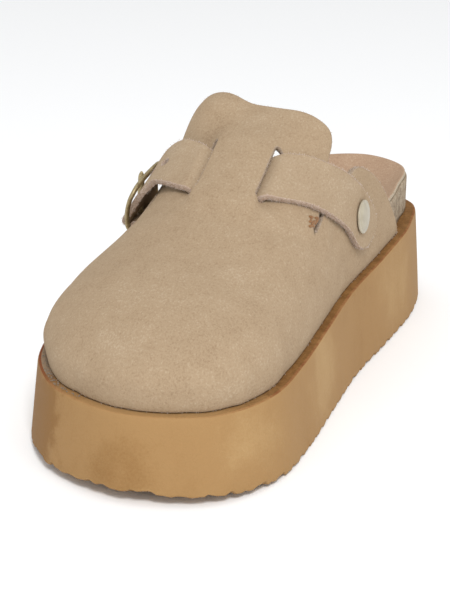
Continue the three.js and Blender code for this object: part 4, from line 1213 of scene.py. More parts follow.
# %% [markdown]
# The buckle is a bent wire frame, a prong that hangs on its lower bar, and a leather tab folded
# round that bar. All three are drawn in the buckle's own directions: across, down and out. They
# could be drawn in the shoe's directions, but the buckle lies aslant there, and no size would be
# readable.

# %% Buckle
OUTER_BAR = strap_stations(OUTER_BAR_AROUND)
bar_lift = (
    float(strap_lift(OUTER_BAR_AROUND, OUTER_BAR["gone"])[0])
    + STRAP_THICKNESS + FRAME_CLEARANCE + FRAME_THICKNESS / 2
)
BAR_PLACE = OUTER_BAR["point"][0] + OUTER_BAR["normal"][0] * bar_lift
HINGE_PLACE = HINGE["point"][0] + HINGE["normal"][0] * HINGE_LIFT
FRAME_REACH = float(np.linalg.norm(HINGE_PLACE - BAR_PLACE))
BUCKLE_DOWN = (HINGE_PLACE - BAR_PLACE) / FRAME_REACH
across_sum = HINGE["across"][0] + OUTER_BAR["across"][0]
BUCKLE_ACROSS = unit(across_sum - BUCKLE_DOWN * (across_sum @ BUCKLE_DOWN))
BUCKLE_OUT = np.cross(BUCKLE_ACROSS, BUCKLE_DOWN)
if BUCKLE_OUT @ HINGE["normal"][0] < 0:
    BUCKLE_OUT, BUCKLE_ACROSS = -BUCKLE_OUT, -BUCKLE_ACROSS
BUCKLE_CENTRE = (BAR_PLACE + HINGE_PLACE) / 2


def in_buckle(points):
    """Shoe places of points given as across, down and out."""
    points = np.asarray(points, float)
    return (
        BUCKLE_CENTRE
        + points[..., :1] * BUCKLE_ACROSS
        + points[..., 1:2] * BUCKLE_DOWN
        + points[..., 2:] * BUCKLE_OUT
    )


# %% Swept piece
def swept_piece(name, path, sizes, closed, sides=24, power=0.75, up=(0, 0, 1)):
    """A bar swept along a path in the buckle's directions; sizes gives its half width and height."""
    path = np.asarray(path, float)
    if closed:
        way = unit(np.roll(path, -1, 0) - np.roll(path, 1, 0))
    else:
        way = unit(np.gradient(path, axis=0))
    out = unit(np.cross(way, np.array(up, float)))
    rise = unit(np.cross(out, way))
    turn = (np.arange(sides) + 0.5) * 2 * math.pi / sides
    wide = np.sign(np.cos(turn)) * np.abs(np.cos(turn)) ** power
    tall = np.sign(np.sin(turn)) * np.abs(np.sin(turn)) ** power
    sizes = np.broadcast_to(np.asarray(sizes, float), (len(path), 2))
    corners = (
        path[:, None]
        + out[:, None] * (wide[None, :, None] * sizes[:, None, :1])
        + rise[:, None] * (tall[None, :, None] * sizes[:, None, 1:])
    ).reshape(-1, 3)
    faces = []
    count = len(path)
    for i in range(count if closed else count - 1):
        j = (i + 1) % count
        for k in range(sides):
            m = (k + 1) % sides
            faces.append([i * sides + k, j * sides + k, j * sides + m, i * sides + m])
    if not closed:
        faces += [list(range(sides))[::-1], list(range((count - 1) * sides, count * sides))]
    piece = make_piece(name, in_buckle(corners), faces)
    face_outwards(piece)
    return piece


# %% Frame path
def frame_path():
    """A rounded rectangle; the outer bar bows towards its ends."""
    half_width = STRAP_WIDTH / 2 + FRAME_ROOM + FRAME_BAR / 2
    half_reach = FRAME_REACH / 2
    points = []
    for sx, sy, start in ((1, 1, 0), (-1, 1, 1), (-1, -1, 2), (1, -1, 3)):
        for k in range(13):
            turn = (start + k / 12) * math.pi / 2
            points.append(
                (sx * (half_width - FRAME_CORNER) + FRAME_CORNER * math.cos(turn),
                 sy * (half_reach - FRAME_CORNER) + FRAME_CORNER * math.sin(turn))
            )
    line = even_line(points, 0.7)
    outer_share = smoothstep(-line[:, 1], -half_reach, half_reach)
    at_side = (line[:, 0] / half_width) ** 2
    bow = SIDE_BOW * (1 - (line[:, 1] / half_reach) ** 2) - FRAME_BOW * outer_share
    return np.column_stack([line, bow * at_side])


buckle_frame = swept_piece(
    "brass_buckle_frame", frame_path(), (FRAME_BAR / 2, FRAME_THICKNESS / 2), True
)


# %% Build prong
def build_prong():
    """An eye round the hinge bar, then an arm that rests on the outer bar."""
    hinge, wall = FRAME_REACH / 2, 0.96
    radius = EYE_RADIUS + wall / 2
    eye = [
        (0, hinge + radius * math.cos(a), radius * math.sin(a))
        for a in np.linspace(math.radians(-120), math.radians(140), 22)
    ]
    rest = FRAME_THICKNESS / 2 + GAP + 0.8
    tip = -FRAME_REACH / 2 - FRAME_BAR / 2 - 0.2
    arm = [(0, y, rest) for y in np.linspace(eye[-1][1] - 1.2, tip, 22)]
    path = np.array(eye + arm)
    for _ in range(3):
        path[1:-1] = (path[:-2] + 2 * path[1:-1] + path[2:]) / 4
    sizes = np.tile([1.3, 0.5], (len(path), 1))
    sizes[22:] = [1.3, 0.8]
    sizes[21] = [1.3, 0.62]
    sizes[-4:] = [[1.25, 0.75], [1.1, 0.65], [0.8, 0.5], [0.35, 0.25]]
    return swept_piece("brass_prong", path, sizes, False, 20, 0.8, (1, 0, 0))


prong = build_prong()


# %% Build tab
def build_tab():
    """The tab: flat on the wing, then rolled round the hinge bar, with a notch for the prong."""
    steps, cuts = 26, 20
    around = np.linspace(TAB_END_AROUND, HINGE_AROUND - 0.012, steps)
    from_end = (around - TAB_END_AROUND) * float(HINGE["girth"][0])
    half = rounded_half(from_end, TAB_WIDTH)
    middle_radius = EYE_RADIUS + TAB_THICKNESS / 2
    turns = np.radians(np.linspace(-78, -350, 26))
    rows_of_points, normals = [], []
    for share in np.linspace(-1, 1, cuts + 1):
        stations = strap_stations(around)
        plate = band_points(stations, half * share, np.zeros(steps), np.full(steps, GAP + TAB_THICKNESS / 2))
        roll = in_buckle(
            [(share * TAB_WIDTH / 2, FRAME_REACH / 2 - middle_radius * math.cos(a + math.pi),
              middle_radius * math.sin(a)) for a in turns]
        )
        rows_of_points.append(np.vstack([plate, roll]))
    sheet = np.array(rows_of_points)
    cuts_x, length = sheet.shape[:2]
    notch = np.abs(np.linspace(-1, 1, cuts_x)) * TAB_WIDTH / 2 < 1.3 + 2 * GAP + 0.2
    number = np.arange(cuts_x * length).reshape(cuts_x, length)
    triangles = []
    for i in range(cuts_x - 1):
        for j in range(length - 1):
            if notch[i] and notch[i + 1] and j >= steps - 3:
                continue
            a, b, c, d = number[i, j], number[i + 1, j], number[i + 1, j + 1], number[i, j + 1]
            triangles += [(a, b, c), (a, c, d)]
    points, triangles = sheet.reshape(-1, 3), np.array(triangles)
    used, triangles = np.unique(triangles, return_inverse=True)
    points, triangles = points[used], triangles.reshape(-1, 3)
    normals = corner_normals(points, triangles)
    if (normals[: len(points) // 3] @ HINGE["normal"][0]).mean() < 0:
        triangles, normals = triangles[:, ::-1], -normals
    corners, faces, cut = thick_sheet(points + normals * TAB_THICKNESS / 2, triangles, TAB_THICKNESS, 0.25)
    return make_piece("leather_tab", corners, faces, cut.astype(int))


tab = build_tab()
for piece in (rivet, tab_rivet, buckle_frame, prong, tab):
    low, high = (np.array(piece.bound_box).min(0) * 1000, np.array(piece.bound_box).max(0) * 1000)
    print(piece.name, len(piece.data.polygons), "faces", low.round(1), high.round(1))

# %% [markdown]
# Node trees are easier to read as sums. This class wraps one socket, so that plain Python
# arithmetic makes the Math nodes. Everything is painted from object coordinates, in millimetres,
# and never from where the camera stands.

# %% A small language for materials


class Socket:
    """One output socket that Python's arithmetic works on."""

    def __init__(self, paint, out):
        self.paint, self.out = paint, out

    def math(self, operation, a, b):
        return self.paint.node("ShaderNodeMath", {"operation": operation}, {0: a, 1: b})

    def __add__(self, other):
        return self.math("ADD", self, other)

    def __radd__(self, other):
        return self.math("ADD", other, self)

    def __sub__(self, other):
        return self.math("SUBTRACT", self, other)

    def __rsub__(self, other):
        return self.math("SUBTRACT", other, self)

    def __mul__(self, other):
        return self.math("MULTIPLY", self, other)

    def __rmul__(self, other):
        return self.math("MULTIPLY", other, self)

    def __truediv__(self, other):
        return self.math("DIVIDE", self, other)

    def __rtruediv__(self, other):
        return self.math("DIVIDE", other, self)

    def __pow__(self, other):
        return self.math("POWER", self, other)

    def __neg__(self):
        return self.math("MULTIPLY", self, -1.0)

    def between(self, low, high):
        """0 below low, 1 above high, with soft shoulders."""
        settings = {"interpolation_type": "SMOOTHSTEP"}
        return self.paint.node("ShaderNodeMapRange", settings, {0: self, 1: low, 2: high, 3: 0.0, 4: 1.0})


# %% Paint
class Paint:
    """A new material and the few ways of painting that this shoe needs."""

    def __init__(self, name, roughness, **fixed):
        self.material = bpy.data.materials.new(name)
        self.material.use_nodes = True
        self.tree = self.material.node_tree
        self.shader = self.tree.nodes["Principled BSDF"]
        self.shader.inputs["Roughness"].default_value = roughness
        for socket, value in fixed.items():
            self.shader.inputs[socket.replace("_", " ")].default_value = value
        place = self.node("ShaderNodeTexCoord", output="Object")
        self.mm = self.node("ShaderNodeVectorMath", {"operation": "SCALE"}, {0: place, "Scale": 1000.0})

    def node(self, kind, settings=None, inputs=None, output=0):
        made = self.tree.nodes.new(kind)
        for name, value in (settings or {}).items():
            setattr(made, name, value)
        for name, value in (inputs or {}).items():
            if isinstance(value, Socket):
                self.tree.links.new(value.out, made.inputs[name])
            else:
                made.inputs[name].default_value = value
        return Socket(self, made.outputs[output])

    def stretched(self, x, y, z):
        """Coordinates squeezed along each axis, for marks that run one way."""
        return self.node("ShaderNodeVectorMath", {"operation": "MULTIPLY"}, {0: self.mm, 1: (x, y, z)})

    def noise(self, scale, detail=3.0, roughness=0.55, where=None, distortion=0.0):
        """Soft random spots; scale is how many there are in a millimetre."""
        inputs = {"Vector": where or self.mm, "Scale": scale, "Detail": detail}
        inputs |= {"Roughness": roughness, "Distortion": distortion}
        return self.node("ShaderNodeTexNoise", None, inputs)

    def cells(self, scale, output="Distance", where=None):
        inputs = {"Vector": where or self.mm, "Scale": scale}
        return self.node("ShaderNodeTexVoronoi", None, inputs, output)

    def spot(self, place, size, wobble=0.35):
        """1 at a place on the shoe and 0 further off than size, with a ragged border."""
        off = self.node(
            "ShaderNodeVectorMath", {"operation": "DISTANCE"}, {0: self.mm, 1: place}, "Value"
        )
        ragged = off * (1 - wobble + 2 * wobble * self.noise(0.16, 4))
        return 1 - ragged.between(size * 0.25, size)

    def mix(self, share, a, b):
        """Colour a where share is 0, and b where it is 1."""
        settings = {"data_type": "RGBA", "clamp_factor": True}
        return self.node("ShaderNodeMix", settings, {0: share, 6: a, 7: b}, 2)

    def finish(self, colour, height, depth, roughness=None):
        """Links the colour and the bumps, and gives back the material. depth is in millimetres."""
        self.tree.links.new(colour.out, self.shader.inputs["Base Color"])
        bump = self.node(
            "ShaderNodeBump", None, {"Strength": 1.0, "Distance": depth * MM, "Height": height}, "Normal"
        )
        self.tree.links.new(bump.out, self.shader.inputs["Normal"])
        if roughness:
            self.tree.links.new(roughness.out, self.shader.inputs["Roughness"])
        return self.material


# %% Tone
def tone(red, green, blue, light=1.0):
    """A colour as it is read off a screen, 0 to 255, turned into the light that a shader needs."""
    turned = [((c / 255 + 0.055) / 1.055) ** 2.4 if c > 10 else c / 255 / 12.92 for c in (red, green, blue)]
    return (*[min(1.0, c * light) for c in turned], 1.0)


# %% [markdown]
# Suede is split leather with a brushed nap. It scatters light, so it has hardly any gloss, but its
# rim is paler than its middle: that is what the sheen does. The colour is mottled in three sizes,
# since a single noise looks like dirt. Lighter and darker spots on the toe are painted light and shade
# over soft dents, and a dark spot on the tongue is painted shade in the hollow beside its curl.

# %% Suede
SUEDE_LIGHT = 0.74


def suede_paint(name, middle, dark, light, spots=()):
    paint = Paint(
        name, 0.95, Sheen_Weight=0.09, Sheen_Roughness=0.5, Sheen_Tint=tone(230, 205, 175),
        Specular_IOR_Level=0.1,
    )
    wide = paint.noise(0.035, 3, 0.5)
    patches = paint.noise(0.14, 5, 0.6, distortion=0.4)
    nap = paint.noise(1.2, 5, 0.7)
    hairs = paint.noise(1.0, 3, 0.7, paint.stretched(2.2, 0.8, 1.4))
    share = (
        0.5 + 0.4 * (wide - 0.5) + 0.45 * (patches - 0.5) + 1.35 * (nap - 0.5) + 0.9 * (hairs - 0.5)
    )
    # Painted light and shade: the spots lighten and darken the colour over dents and hollows.
    for place, size, change in spots:
        share = share + change * paint.spot(place, size)
    low = paint.mix(share.between(0.05, 0.5), dark, middle)
    colour = paint.mix(share.between(0.5, 0.95), low, light)
    dust = paint.noise(2.4, 2, 0.5).between(0.68, 0.78)
    colour = paint.mix(0.35 * dust, colour, tone(222, 208, 186, SUEDE_LIGHT))
    fleck = paint.noise(1.7, 2, 0.5, paint.stretched(1, 1, 1.3)).between(0.69, 0.76)
    colour = paint.mix(0.4 * fleck, colour, tone(140, 112, 84, SUEDE_LIGHT))
    height = 0.45 * nap + 0.35 * hairs + 0.5 * patches + 0.2 * paint.noise(2.6, 3)
    return paint.finish(colour, height, 0.5)


# Spots on the suede: the toe's lighter and darker ones are painted light and shade over soft dents, and the dark
# one on the tongue is painted shade in the hollow between its curl and the strip over the strap.
SUEDE_PAINTED_SHADING = (
    ((4.1, -116.2, 50.8), 12.0, 0.11),
    ((46.6, -90.2, 43.4), 12.0, 0.12),
    ((26.9, -115.2, 48.8), 14.0, -0.08),
    ((-12.5, -6.1, 93.7), 12.0, -0.2),
)
upper_suede = suede_paint(
    "tan_suede",
    tone(187, 162, 132, SUEDE_LIGHT), tone(166, 140, 111, SUEDE_LIGHT), tone(206, 184, 156, SUEDE_LIGHT),
    SUEDE_PAINTED_SHADING,
)
strap_suede = suede_paint(
    "strap_suede",
    tone(188, 164, 135, SUEDE_LIGHT), tone(170, 144, 115, SUEDE_LIGHT), tone(208, 187, 160, SUEDE_LIGHT),
)
# A darker copy of the strap suede: painted shade for the tab's place under the buckle.
shaded_tab_suede = suede_paint(
    "shaded_tab_suede",
    tone(150, 126, 100, SUEDE_LIGHT), tone(120, 98, 76, SUEDE_LIGHT), tone(170, 146, 120, SUEDE_LIGHT),
)

# %% [markdown]
# Where suede is cut, the inside of the hide shows: greyer and a little pink, with loose fibres. It
# could be a mask on the suede. A material of its own, on the faces of the cut, stays sharp.

# %% Raw edges


def raw_edge_paint(name, middle, dark, light):
    paint = Paint(
        name, 1.0, Sheen_Weight=0.12, Sheen_Roughness=0.6, Sheen_Tint=tone(225, 200, 175),
        Specular_IOR_Level=0.05,
    )
    fibres = paint.noise(1.6, 4, 0.7)
    tufts = paint.noise(0.7, 3, 0.6, distortion=0.8)
    share = 0.5 + 1.3 * (fibres - 0.5) + 0.9 * (tufts - 0.5)
    low = paint.mix(share.between(0.1, 0.5), dark, middle)
    colour = paint.mix(share.between(0.5, 0.9), low, light)
    return paint.finish(colour, 0.6 * fibres + 0.5 * tufts, 0.8)


strap_edge = raw_edge_paint(
    "strap_raw_edge",
    tone(190, 166, 147, 0.86), tone(150, 124, 108, 0.86), tone(216, 200, 184, 0.86),
)
upper_edge = raw_edge_paint(
    "upper_raw_edge",
    tone(184, 163, 141, SUEDE_LIGHT), tone(150, 126, 106, SUEDE_LIGHT), tone(212, 197, 178, SUEDE_LIGHT),
)

# %% [markdown]
# The platform is moulded foam: matt and slightly mottled. Its big-toe side is painted lighter, as
# painted light, and the front of the toe darker, as painted shade; low on the outer toe it is darker,
# partly stain and partly painted shade. Its cut ledge is darker where the glue ran; on its top a paler
# patch beside the outer toe is a painted highlight where light grazes it. Cork is pressed from granules,
# so its speckles are cells, each with its own tone. A noise would blur where one granule ends and the
# next starts.

# %% Foam, ledge and cork
FOAM_LIGHT = 0.64


def foam_paint():
    paint = Paint("caramel_foam", 0.75, Specular_IOR_Level=0.3)
    clouds = paint.noise(0.03, 4, 0.55, distortion=0.6)
    runs = paint.noise(0.1, 4, 0.6, paint.stretched(1, 1, 0.3))
    grain = paint.noise(1.3, 4, 0.6)
    share = 0.42 + 0.5 * (clouds - 0.5) + 0.3 * (runs - 0.5) + 0.35 * (grain - 0.5)
    # Painted light on the big-toe side, painted shade on the front, and partly stain, partly painted shade low
    # on the outer toe.
    for place, size, change in FOAM_STAINS_AND_PAINTED_LIGHT:
        share = share + change * paint.spot(place, size, 0.5)
    low = paint.mix(share.between(0.0, 0.5), tone(166, 122, 68, FOAM_LIGHT), tone(191, 149, 96, FOAM_LIGHT))
    colour = paint.mix(share.between(0.5, 1.0), low, tone(212, 174, 120, FOAM_LIGHT))
    height = 0.5 * grain + 0.5 * paint.noise(0.35, 3) + 0.3 * paint.noise(3.0, 2)
    return paint.finish(colour, height, 0.25)


# Spots on the foam: the lighter ones along the big-toe side are painted light, the dark one low on the front of
# the toe is painted shade, and the dark ones low on the outer toe are partly stain and partly painted shade.
FOAM_STAINS_AND_PAINTED_LIGHT = (
    ((-40.0, -112.0, 14.0), 30.0, -0.65),
    ((-30.0, -118.0, 24.0), 12.0, -0.25),
    ((-28.0, -122.0, 20.0), 14.0, -0.4),
    ((38.0, -100.0, 20.0), 26.0, 0.35),
    ((50.0, -40.0, 20.0), 30.0, 0.3),
    ((44.0, 60.0, 26.0), 40.0, 0.3),
    ((10.0, -131.0, 12.0), 18.0, -0.25),
)
foam = foam_paint()


# %% Ledge paint
def ledge_paint(name, dark, middle, patch, front=tone(206, 164, 110, FOAM_LIGHT)):
    paint = Paint(name, 0.8, Specular_IOR_Level=0.2)
    share = 0.5 + 1.1 * (paint.noise(0.2, 4) - 0.5) + 0.9 * (paint.noise(1.2, 4) - 0.5)
    colour = paint.mix(share.between(0.2, 0.8), dark, middle)
    colour = paint.mix(0.75 * paint.spot((20.0, -134.0, 31.0), 62.0), colour, front)
    # The patch beside the outer toe: on the ledge's top it is a painted highlight where light grazes it; on the
    # rim it is a reddish line.
    colour = paint.mix(paint.spot((-44.0, -96.0, 31.0), 34.0), colour, patch)
    return paint.finish(colour, paint.noise(1.1, 4), 0.3)


# Its last colour is the painted highlight beside the outer toe.
ledge = ledge_paint(
    "glued_ledge", tone(118, 80, 38, 0.85), tone(150, 108, 60, 0.85), tone(160, 136, 110, 0.8)
)
ledge_rim = ledge_paint(
    "ledge_rim", tone(150, 92, 50, FOAM_LIGHT), tone(184, 134, 82, FOAM_LIGHT), tone(150, 84, 44, FOAM_LIGHT)
)


def cork_paint():
    paint = Paint("pressed_cork", 0.9, Specular_IOR_Level=0.15)
    wobbled = paint.node(
        "ShaderNodeVectorMath", {"operation": "ADD"},
        {0: paint.mm, 1: paint.node("ShaderNodeTexNoise", None, {"Vector": paint.mm, "Scale": 0.8}, "Color")},
    )
    granule = paint.cells(0.75, "Color", wobbled)
    grain_tone = paint.node("ShaderNodeSeparateColor", None, {0: granule})
    crack = paint.cells(0.75, "Distance", wobbled)
    share = 0.25 + 0.5 * grain_tone + 0.5 * (paint.noise(1.5, 4) - 0.5)
    low = paint.mix(share.between(0.1, 0.5), tone(122, 104, 84, 0.82), tone(168, 150, 127, 0.82))
    colour = paint.mix(share.between(0.5, 0.95), low, tone(200, 185, 162, 0.82))
    colour = paint.mix(0.7 * paint.noise(0.9, 3).between(0.62, 0.7), colour, tone(92, 70, 52, 0.8))
    return paint.finish(colour, 0.6 * paint.noise(1.5, 4) - 0.25 * crack, 0.5)


cork = cork_paint()
cover_suede = suede_paint(
    "footbed_suede",
    tone(184, 154, 128, 0.86), tone(162, 132, 108, 0.86), tone(204, 178, 152, 0.86),
)
cover_edge = raw_edge_paint(
    "footbed_cut_edge",
    tone(206, 190, 166, SUEDE_LIGHT), tone(170, 148, 124, SUEDE_LIGHT), tone(228, 216, 196, SUEDE_LIGHT),
)

# %% [markdown]
# The rivet's cap is lacquered in a cream tone, the buckle is brushed brass gone dull, and the tack
# at the slit's end is sewn with brown thread. Each has its own roughness, because that is what
# tells lacquer, metal and thread apart at this size.

# %% Cap, brass and thread


def cap_paint():
    paint = Paint("cream_cap", 0.38, Specular_IOR_Level=0.5, Coat_Weight=0.15, Coat_Roughness=0.3)
    share = 0.5 + 0.8 * (paint.noise(0.3, 3) - 0.5) + 0.4 * (paint.noise(2.0, 3) - 0.5)
    colour = paint.mix(share.between(0.2, 0.8), tone(182, 170, 146, 0.7), tone(206, 196, 172, 0.7))
    return paint.finish(colour, paint.noise(0.8, 3), 0.04)


def brass_paint():
    paint = Paint("dull_brass", 0.42, Metallic=0.75)
    dull = paint.noise(0.5, 4, 0.6)
    brushed = paint.noise(1.2, 3, 0.6, paint.stretched(0.4, 3, 3))
    share = 0.5 + 1.0 * (dull - 0.5) + 0.5 * (brushed - 0.5)
    colour = paint.mix(share.between(0.2, 0.8), tone(128, 112, 80), tone(186, 170, 132))
    return paint.finish(colour, brushed, 0.05, 0.32 + 0.25 * dull)


def thread_paint(name, dark, light):
    paint = Paint(name, 0.8, Sheen_Weight=0.2, Specular_IOR_Level=0.3)
    share = 0.5 + 1.2 * (paint.noise(2.5, 3) - 0.5)
    return paint.finish(paint.mix(share.between(0.2, 0.8), dark, light), paint.noise(4.0, 2), 0.2)


cream = cap_paint()
brass = brass_paint()
thread = thread_paint("brown_thread", tone(120, 78, 40, 0.8), tone(172, 124, 76, 0.8))
fibre = thread_paint("loose_fibres", tone(186, 164, 148, 0.9), tone(222, 208, 194, 0.9))
crumbs_paint = thread_paint("glue_crumbs", tone(84, 74, 66, 0.8), tone(176, 162, 146, 0.8))

PAINTS = {
    upper: (upper_suede, upper_edge),
    strap: (strap_suede, strap_edge),
    tab: (shaded_tab_suede, strap_edge),
    platform: (foam, ledge, ledge_rim),
    footbed: (cork,),
    cover: (cover_suede, cover_edge),
    rivet: (cream,),
    tab_rivet: (brass,),
    buckle_frame: (brass,),
    prong: (brass,),
}
for piece, paints in PAINTS.items():
    for material in paints:
        piece.data.materials.append(material)
print(len(bpy.data.materials), "materials")

# %% [markdown]
# Small things that repeat are set out by Geometry Nodes. Each tree has named inputs and a fixed
# seed, so it gives the same shoe every time. The result becomes a plain mesh at once, because a
# live modifier would make the later steps slow.

# %% Fibres, stitches and crumbs


class Tree:
    """A Geometry Nodes tree with named inputs."""

    def __init__(self, name, **values):
        self.tree = bpy.data.node_groups.new(name, "GeometryNodeTree")
        self.values = values
        sockets = self.tree.interface
        sockets.new_socket("Geometry", in_out="INPUT", socket_type="NodeSocketGeometry")
        for label, value in values.items():
            kind = "NodeSocketInt" if isinstance(value, int) else "NodeSocketFloat"
            sockets.new_socket(label, in_out="INPUT", socket_type=kind)
        sockets.new_socket("Geometry", in_out="OUTPUT", socket_type="NodeSocketGeometry")
        self.given = self.tree.nodes.new("NodeGroupInput").outputs

    def node(self, kind, settings=None, inputs=None, output=0):
        made = self.tree.nodes.new(kind)
        for name, value in (settings or {}).items():
            setattr(made, name, value)
        for name, value in (inputs or {}).items():
            if isinstance(value, bpy.types.NodeSocket):
                self.tree.links.new(value, made.inputs[name])
            else:
                made.inputs[name].default_value = value
        return made.outputs[output] if len(made.outputs) else None

    def between(self, low, high):
        """A random number for every point."""
        inputs = {2: self.given[low], 3: self.given[high], "Seed": self.given["Seed"]}
        return self.node("FunctionNodeRandomValue", {"data_type": "FLOAT"}, inputs, 1)

    def place(self, points, item, rotation, scale, material):
        """Sets the item on the points and ends the tree."""
        inputs = {"Points": points, "Instance": item, "Rotation": rotation, "Scale": scale}
        placed = self.node("GeometryNodeInstanceOnPoints", None, inputs)
        solid = self.node("GeometryNodeRealizeInstances", None, {"Geometry": placed})
        inputs = {"Geometry": solid, "Material": material}
        self.node(
            "NodeGroupOutput", None, {"Geometry": self.node("GeometryNodeSetMaterial", None, inputs)}
        )

    def run(self, name, mesh):
        """Runs the tree on a mesh and gives back an object with the plain result."""
        piece = bpy.data.objects.new(name, mesh)
        bpy.context.scene.collection.objects.link(piece)
        modifier = piece.modifiers.new("repeat", "NODES")
        modifier.node_group = self.tree
        for socket in self.tree.interface.items_tree:
            if socket.in_out == "INPUT" and socket.name in self.values:
                modifier[socket.identifier] = self.values[socket.name]
        seen = piece.evaluated_get(bpy.context.evaluated_depsgraph_get())
        made = bpy.data.meshes.new_from_object(seen)
        piece.modifiers.remove(modifier)
        piece.data = made
        made.name = name
        print(name, len(made.polygons), "faces")
        return piece


# %% [markdown]
# A cut through suede frays. Thin cones stand on the cut faces, which carry material number 1,
# each leaning its own way off the face. Fur would need a hair system that can't be handed on.

# %% Loose fibres on the cut edges


def fray(name, source, density, longest, seed):
    tree = Tree(
        name + "_tree", Density=density, Shortest=longest * 0.4 * MM, Longest=longest * MM,
        Width=0.085 * MM, Spread=0.75, Seed=seed,
    )
    given = tree.given
    part = tree.node("GeometryNodeInputMaterialIndex")
    settings = {"data_type": "INT", "operation": "EQUAL"}
    on_cut = tree.node("FunctionNodeCompare", settings, {2: part, 3: 1})
    inputs = {"Mesh": given["Geometry"], "Selection": on_cut}
    inputs |= {"Density": given["Density"], "Seed": given["Seed"]}
    points = tree.node("GeometryNodeDistributePointsOnFaces", {"distribute_method": "RANDOM"}, inputs)
    normal = points.node.outputs["Normal"]
    inputs = {0: (-1, -1, -1), 1: (1, 1, 1), "Seed": given["Seed"]}
    lean = tree.node("FunctionNodeRandomValue", {"data_type": "FLOAT_VECTOR"}, inputs)
    inputs = {0: lean, "Scale": given["Spread"]}
    lean = tree.node("ShaderNodeVectorMath", {"operation": "SCALE"}, inputs)
    way = tree.node("ShaderNodeVectorMath", {"operation": "ADD"}, {0: normal, 1: lean})
    turned = tree.node("FunctionNodeAlignRotationToVector", {"axis": "Z"}, {"Vector": way})
    length = tree.between("Shortest", "Longest")
    size = tree.node(
        "ShaderNodeCombineXYZ", None, {0: given["Width"], 1: given["Width"], 2: length}
    )
    inputs = {"Vertices": 4, "Radius Top": 0.3, "Radius Bottom": 1.0, "Depth": 1.0}
    cone = tree.node("GeometryNodeMeshCone", None, inputs)
    tree.place(points, cone, turned, size, fibre)
    return tree.run(name, source.data)


strap_fibres = fray("strap_fibres", strap, 1.9e6, 1.0, 5)
upper_fibres = fray("upper_fibres", upper, 0.7e6, 0.7, 8)

# %% [markdown]
# A bar tack of thick thread stops the slit from tearing. A little glue and cork dust lies on the
# ledge beside the toe. Both are items on marked places, each with its own direction and size.

# %% The tack and the crumbs


def set_items(name, places, item, material):
    """Sets one item on every place, given as point, direction, up and size in mm."""
    points, *others = (np.array(part, float) for part in zip(*places))
    mesh = bpy.data.meshes.new(name + "_places")
    mesh.from_pydata(((points + SHOE_SHIFT) * MM).tolist(), [], [])
    for label, values in zip(("direction", "up", "size"), others):
        values = values * (MM if label == "size" else 1)
        mesh.attributes.new(label, "FLOAT_VECTOR", "POINT").data.foreach_set("vector", values.ravel())
    tree = Tree(name + "_tree", Smallest=0.8, Largest=1.2, Seed=3)

    def marked(label):
        settings = {"data_type": "FLOAT_VECTOR"}
        return tree.node("GeometryNodeInputNamedAttribute", settings, {"Name": label})

    upright = tree.node("FunctionNodeAlignRotationToVector", {"axis": "Z"}, {"Vector": marked("up")})
    settings = {"axis": "X", "pivot_axis": "Z"}
    inputs = {"Rotation": upright, "Vector": marked("direction")}
    turned = tree.node("FunctionNodeAlignRotationToVector", settings, inputs)
    inputs = {0: marked("size"), "Scale": tree.between("Smallest", "Largest")}
    size = tree.node("ShaderNodeVectorMath", {"operation": "SCALE"}, inputs)
    kind, inputs = item
    tree.place(tree.given["Geometry"], tree.node(kind, None, inputs), turned, size, material)
    return tree.run(name, mesh)


STITCHES = [
    # flat x and y of both ends of each stitch
    (32.9, -22.0, 34.2, -20.6), (35.5, -19.3, 36.9, -17.4), (33.7, -23.7, 34.6, -22.5),
    (35.2, -22.0, 36.2, -20.6), (34.5, -25.2, 35.3, -24.1), (35.7, -23.5, 36.6, -22.4),
    (34.0, -20.8, 33.9, -23.0), (35.7, -20.8, 35.2, -23.8), (37.0, -17.8, 36.6, -21.0),
]


# %% Stitch places
def stitch_places():
    ends = np.array(STITCHES).reshape(-1, 2, 2)
    first, last = soft_surface(ends[:, 0]), soft_surface(ends[:, 1])
    up = last_normal(ends.mean(axis=1), 1.5)
    middle = (first + last) / 2 + up * 0.1
    length = np.linalg.norm(last - first, axis=1)
    return [
        (m, unit(b - a), u, (s + 0.8, 1.0, 0.7)) for m, a, b, u, s in zip(middle, first, last, up, length)
    ]


def crumb_places():
    """Dust on the ledge beside the little toe."""
    random = np.random.default_rng(11)
    t = random.uniform(0, 1, 1500)
    inset = random.uniform(SIDE_FLARE + 1.2, SIDE_FLARE + LEDGE_WIDTH - 0.2, 1500)
    flat = np.array([outline_point(np.array([a]), b)[0] for a, b in zip(t, inset)])
    near = (flat[:, 0] < -14) & (flat[:, 1] < -84)
    places = []
    for x, y in flat[near][:90]:
        size = random.uniform(0.25, 0.75)
        direction = (*random.uniform(-1, 1, 2), 0)
        point = (x, y, float(platform_top(y)) + size * 0.2)
        places.append((point, direction, (0, 0, 1), (size, size * 0.8, size * 0.6)))
    return places


tack = set_items(
    "bar_tack", stitch_places(),
    ("GeometryNodeMeshUVSphere", {"Segments": 12, "Rings": 8, "Radius": 0.5}), thread,
)
crumbs = set_items(
    "glue_crumbs", crumb_places(),
    ("GeometryNodeMeshIcoSphere", {"Radius": 0.5, "Subdivisions": 1}), crumbs_paint,
)


# %% [markdown]
# A plain pale floor and soft light from above and the front, as in a shop photo on white. The world
# gives most of the light, and two round lamps add the soft shadow and the brighter side.

# %% Stage


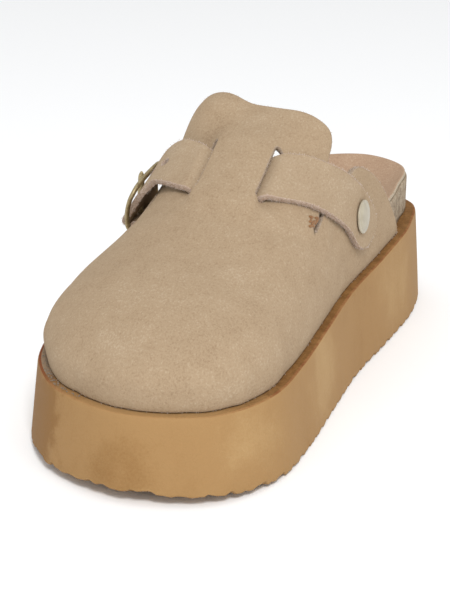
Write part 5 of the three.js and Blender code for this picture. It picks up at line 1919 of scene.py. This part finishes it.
def plain_material(name, colour, roughness=0.9, metallic=0.0):
    material = bpy.data.materials.new(name)
    material.use_nodes = True
    shader = material.node_tree.nodes["Principled BSDF"]
    shader.inputs["Base Color"].default_value = (*colour, 1)
    shader.inputs["Roughness"].default_value = roughness
    shader.inputs["Metallic"].default_value = metallic
    return material


floor_mesh = bpy.data.meshes.new("floor")
floor_mesh.from_pydata([(-6, -6, 0), (6, -6, 0), (6, 6, 0), (-6, 6, 0)], [], [(0, 1, 2, 3)])
floor = bpy.data.objects.new("floor", floor_mesh)
bpy.context.scene.collection.objects.link(floor)
floor_mesh.materials.append(plain_material("pale_floor", (0.96, 0.96, 0.96), 1.0))

bpy.context.scene.view_settings.view_transform = "Standard"
world = bpy.data.worlds.new("studio")
bpy.context.scene.world = world
world.use_nodes = True
world.node_tree.nodes["Background"].inputs["Color"].default_value = (0.98, 0.99, 1, 1)
world.node_tree.nodes["Background"].inputs["Strength"].default_value = 0.82


# %% Soft light
def soft_light(name, place, target, size, power):
    lamp = bpy.data.lights.new(name, "AREA")
    lamp.shape = "DISK"
    lamp.size = size
    lamp.energy = power
    made = bpy.data.objects.new(name, lamp)
    made.location = place
    made.rotation_euler = (Vector(target) - Vector(place)).to_track_quat("-Z", "Y").to_euler()
    bpy.context.scene.collection.objects.link(made)
    return made


soft_light("key", (0.6, -1.0, 1.2), (0, 0, 0.03), 0.4, 15)
soft_light("right", (1.2, -0.8, 0.45), (0, 0, 0.03), 0.7, 1.6)

# %% [markdown]
# Each new piece rides on the one rigid body and stands for its CAD node. The fibres, the tack and
# the crumbs ride too, but replace nothing.

# %% Pieces on the body
PIECES = [
    (upper, "upper", "suede"),
    (strap, "strap", "suede"),
    (platform, "platform_sole", "platform"),
    (footbed, "footbed", "cork"),
    (cover, "footbed_cover", "cover"),
    (rivet, "strap_rivet", "cap"),
    (tab_rivet, "tab_rivet", "metal"),
    (buckle_frame, "buckle_frame", "metal"),
    (prong, "buckle_prong", "metal"),
    (tab, "buckle_tab", "suede"),
]
for piece, node, slot in PIECES:
    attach(piece, "root")
    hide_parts(node)
for piece in (strap_fibres, upper_fibres, tack, crumbs):
    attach(piece, "root")
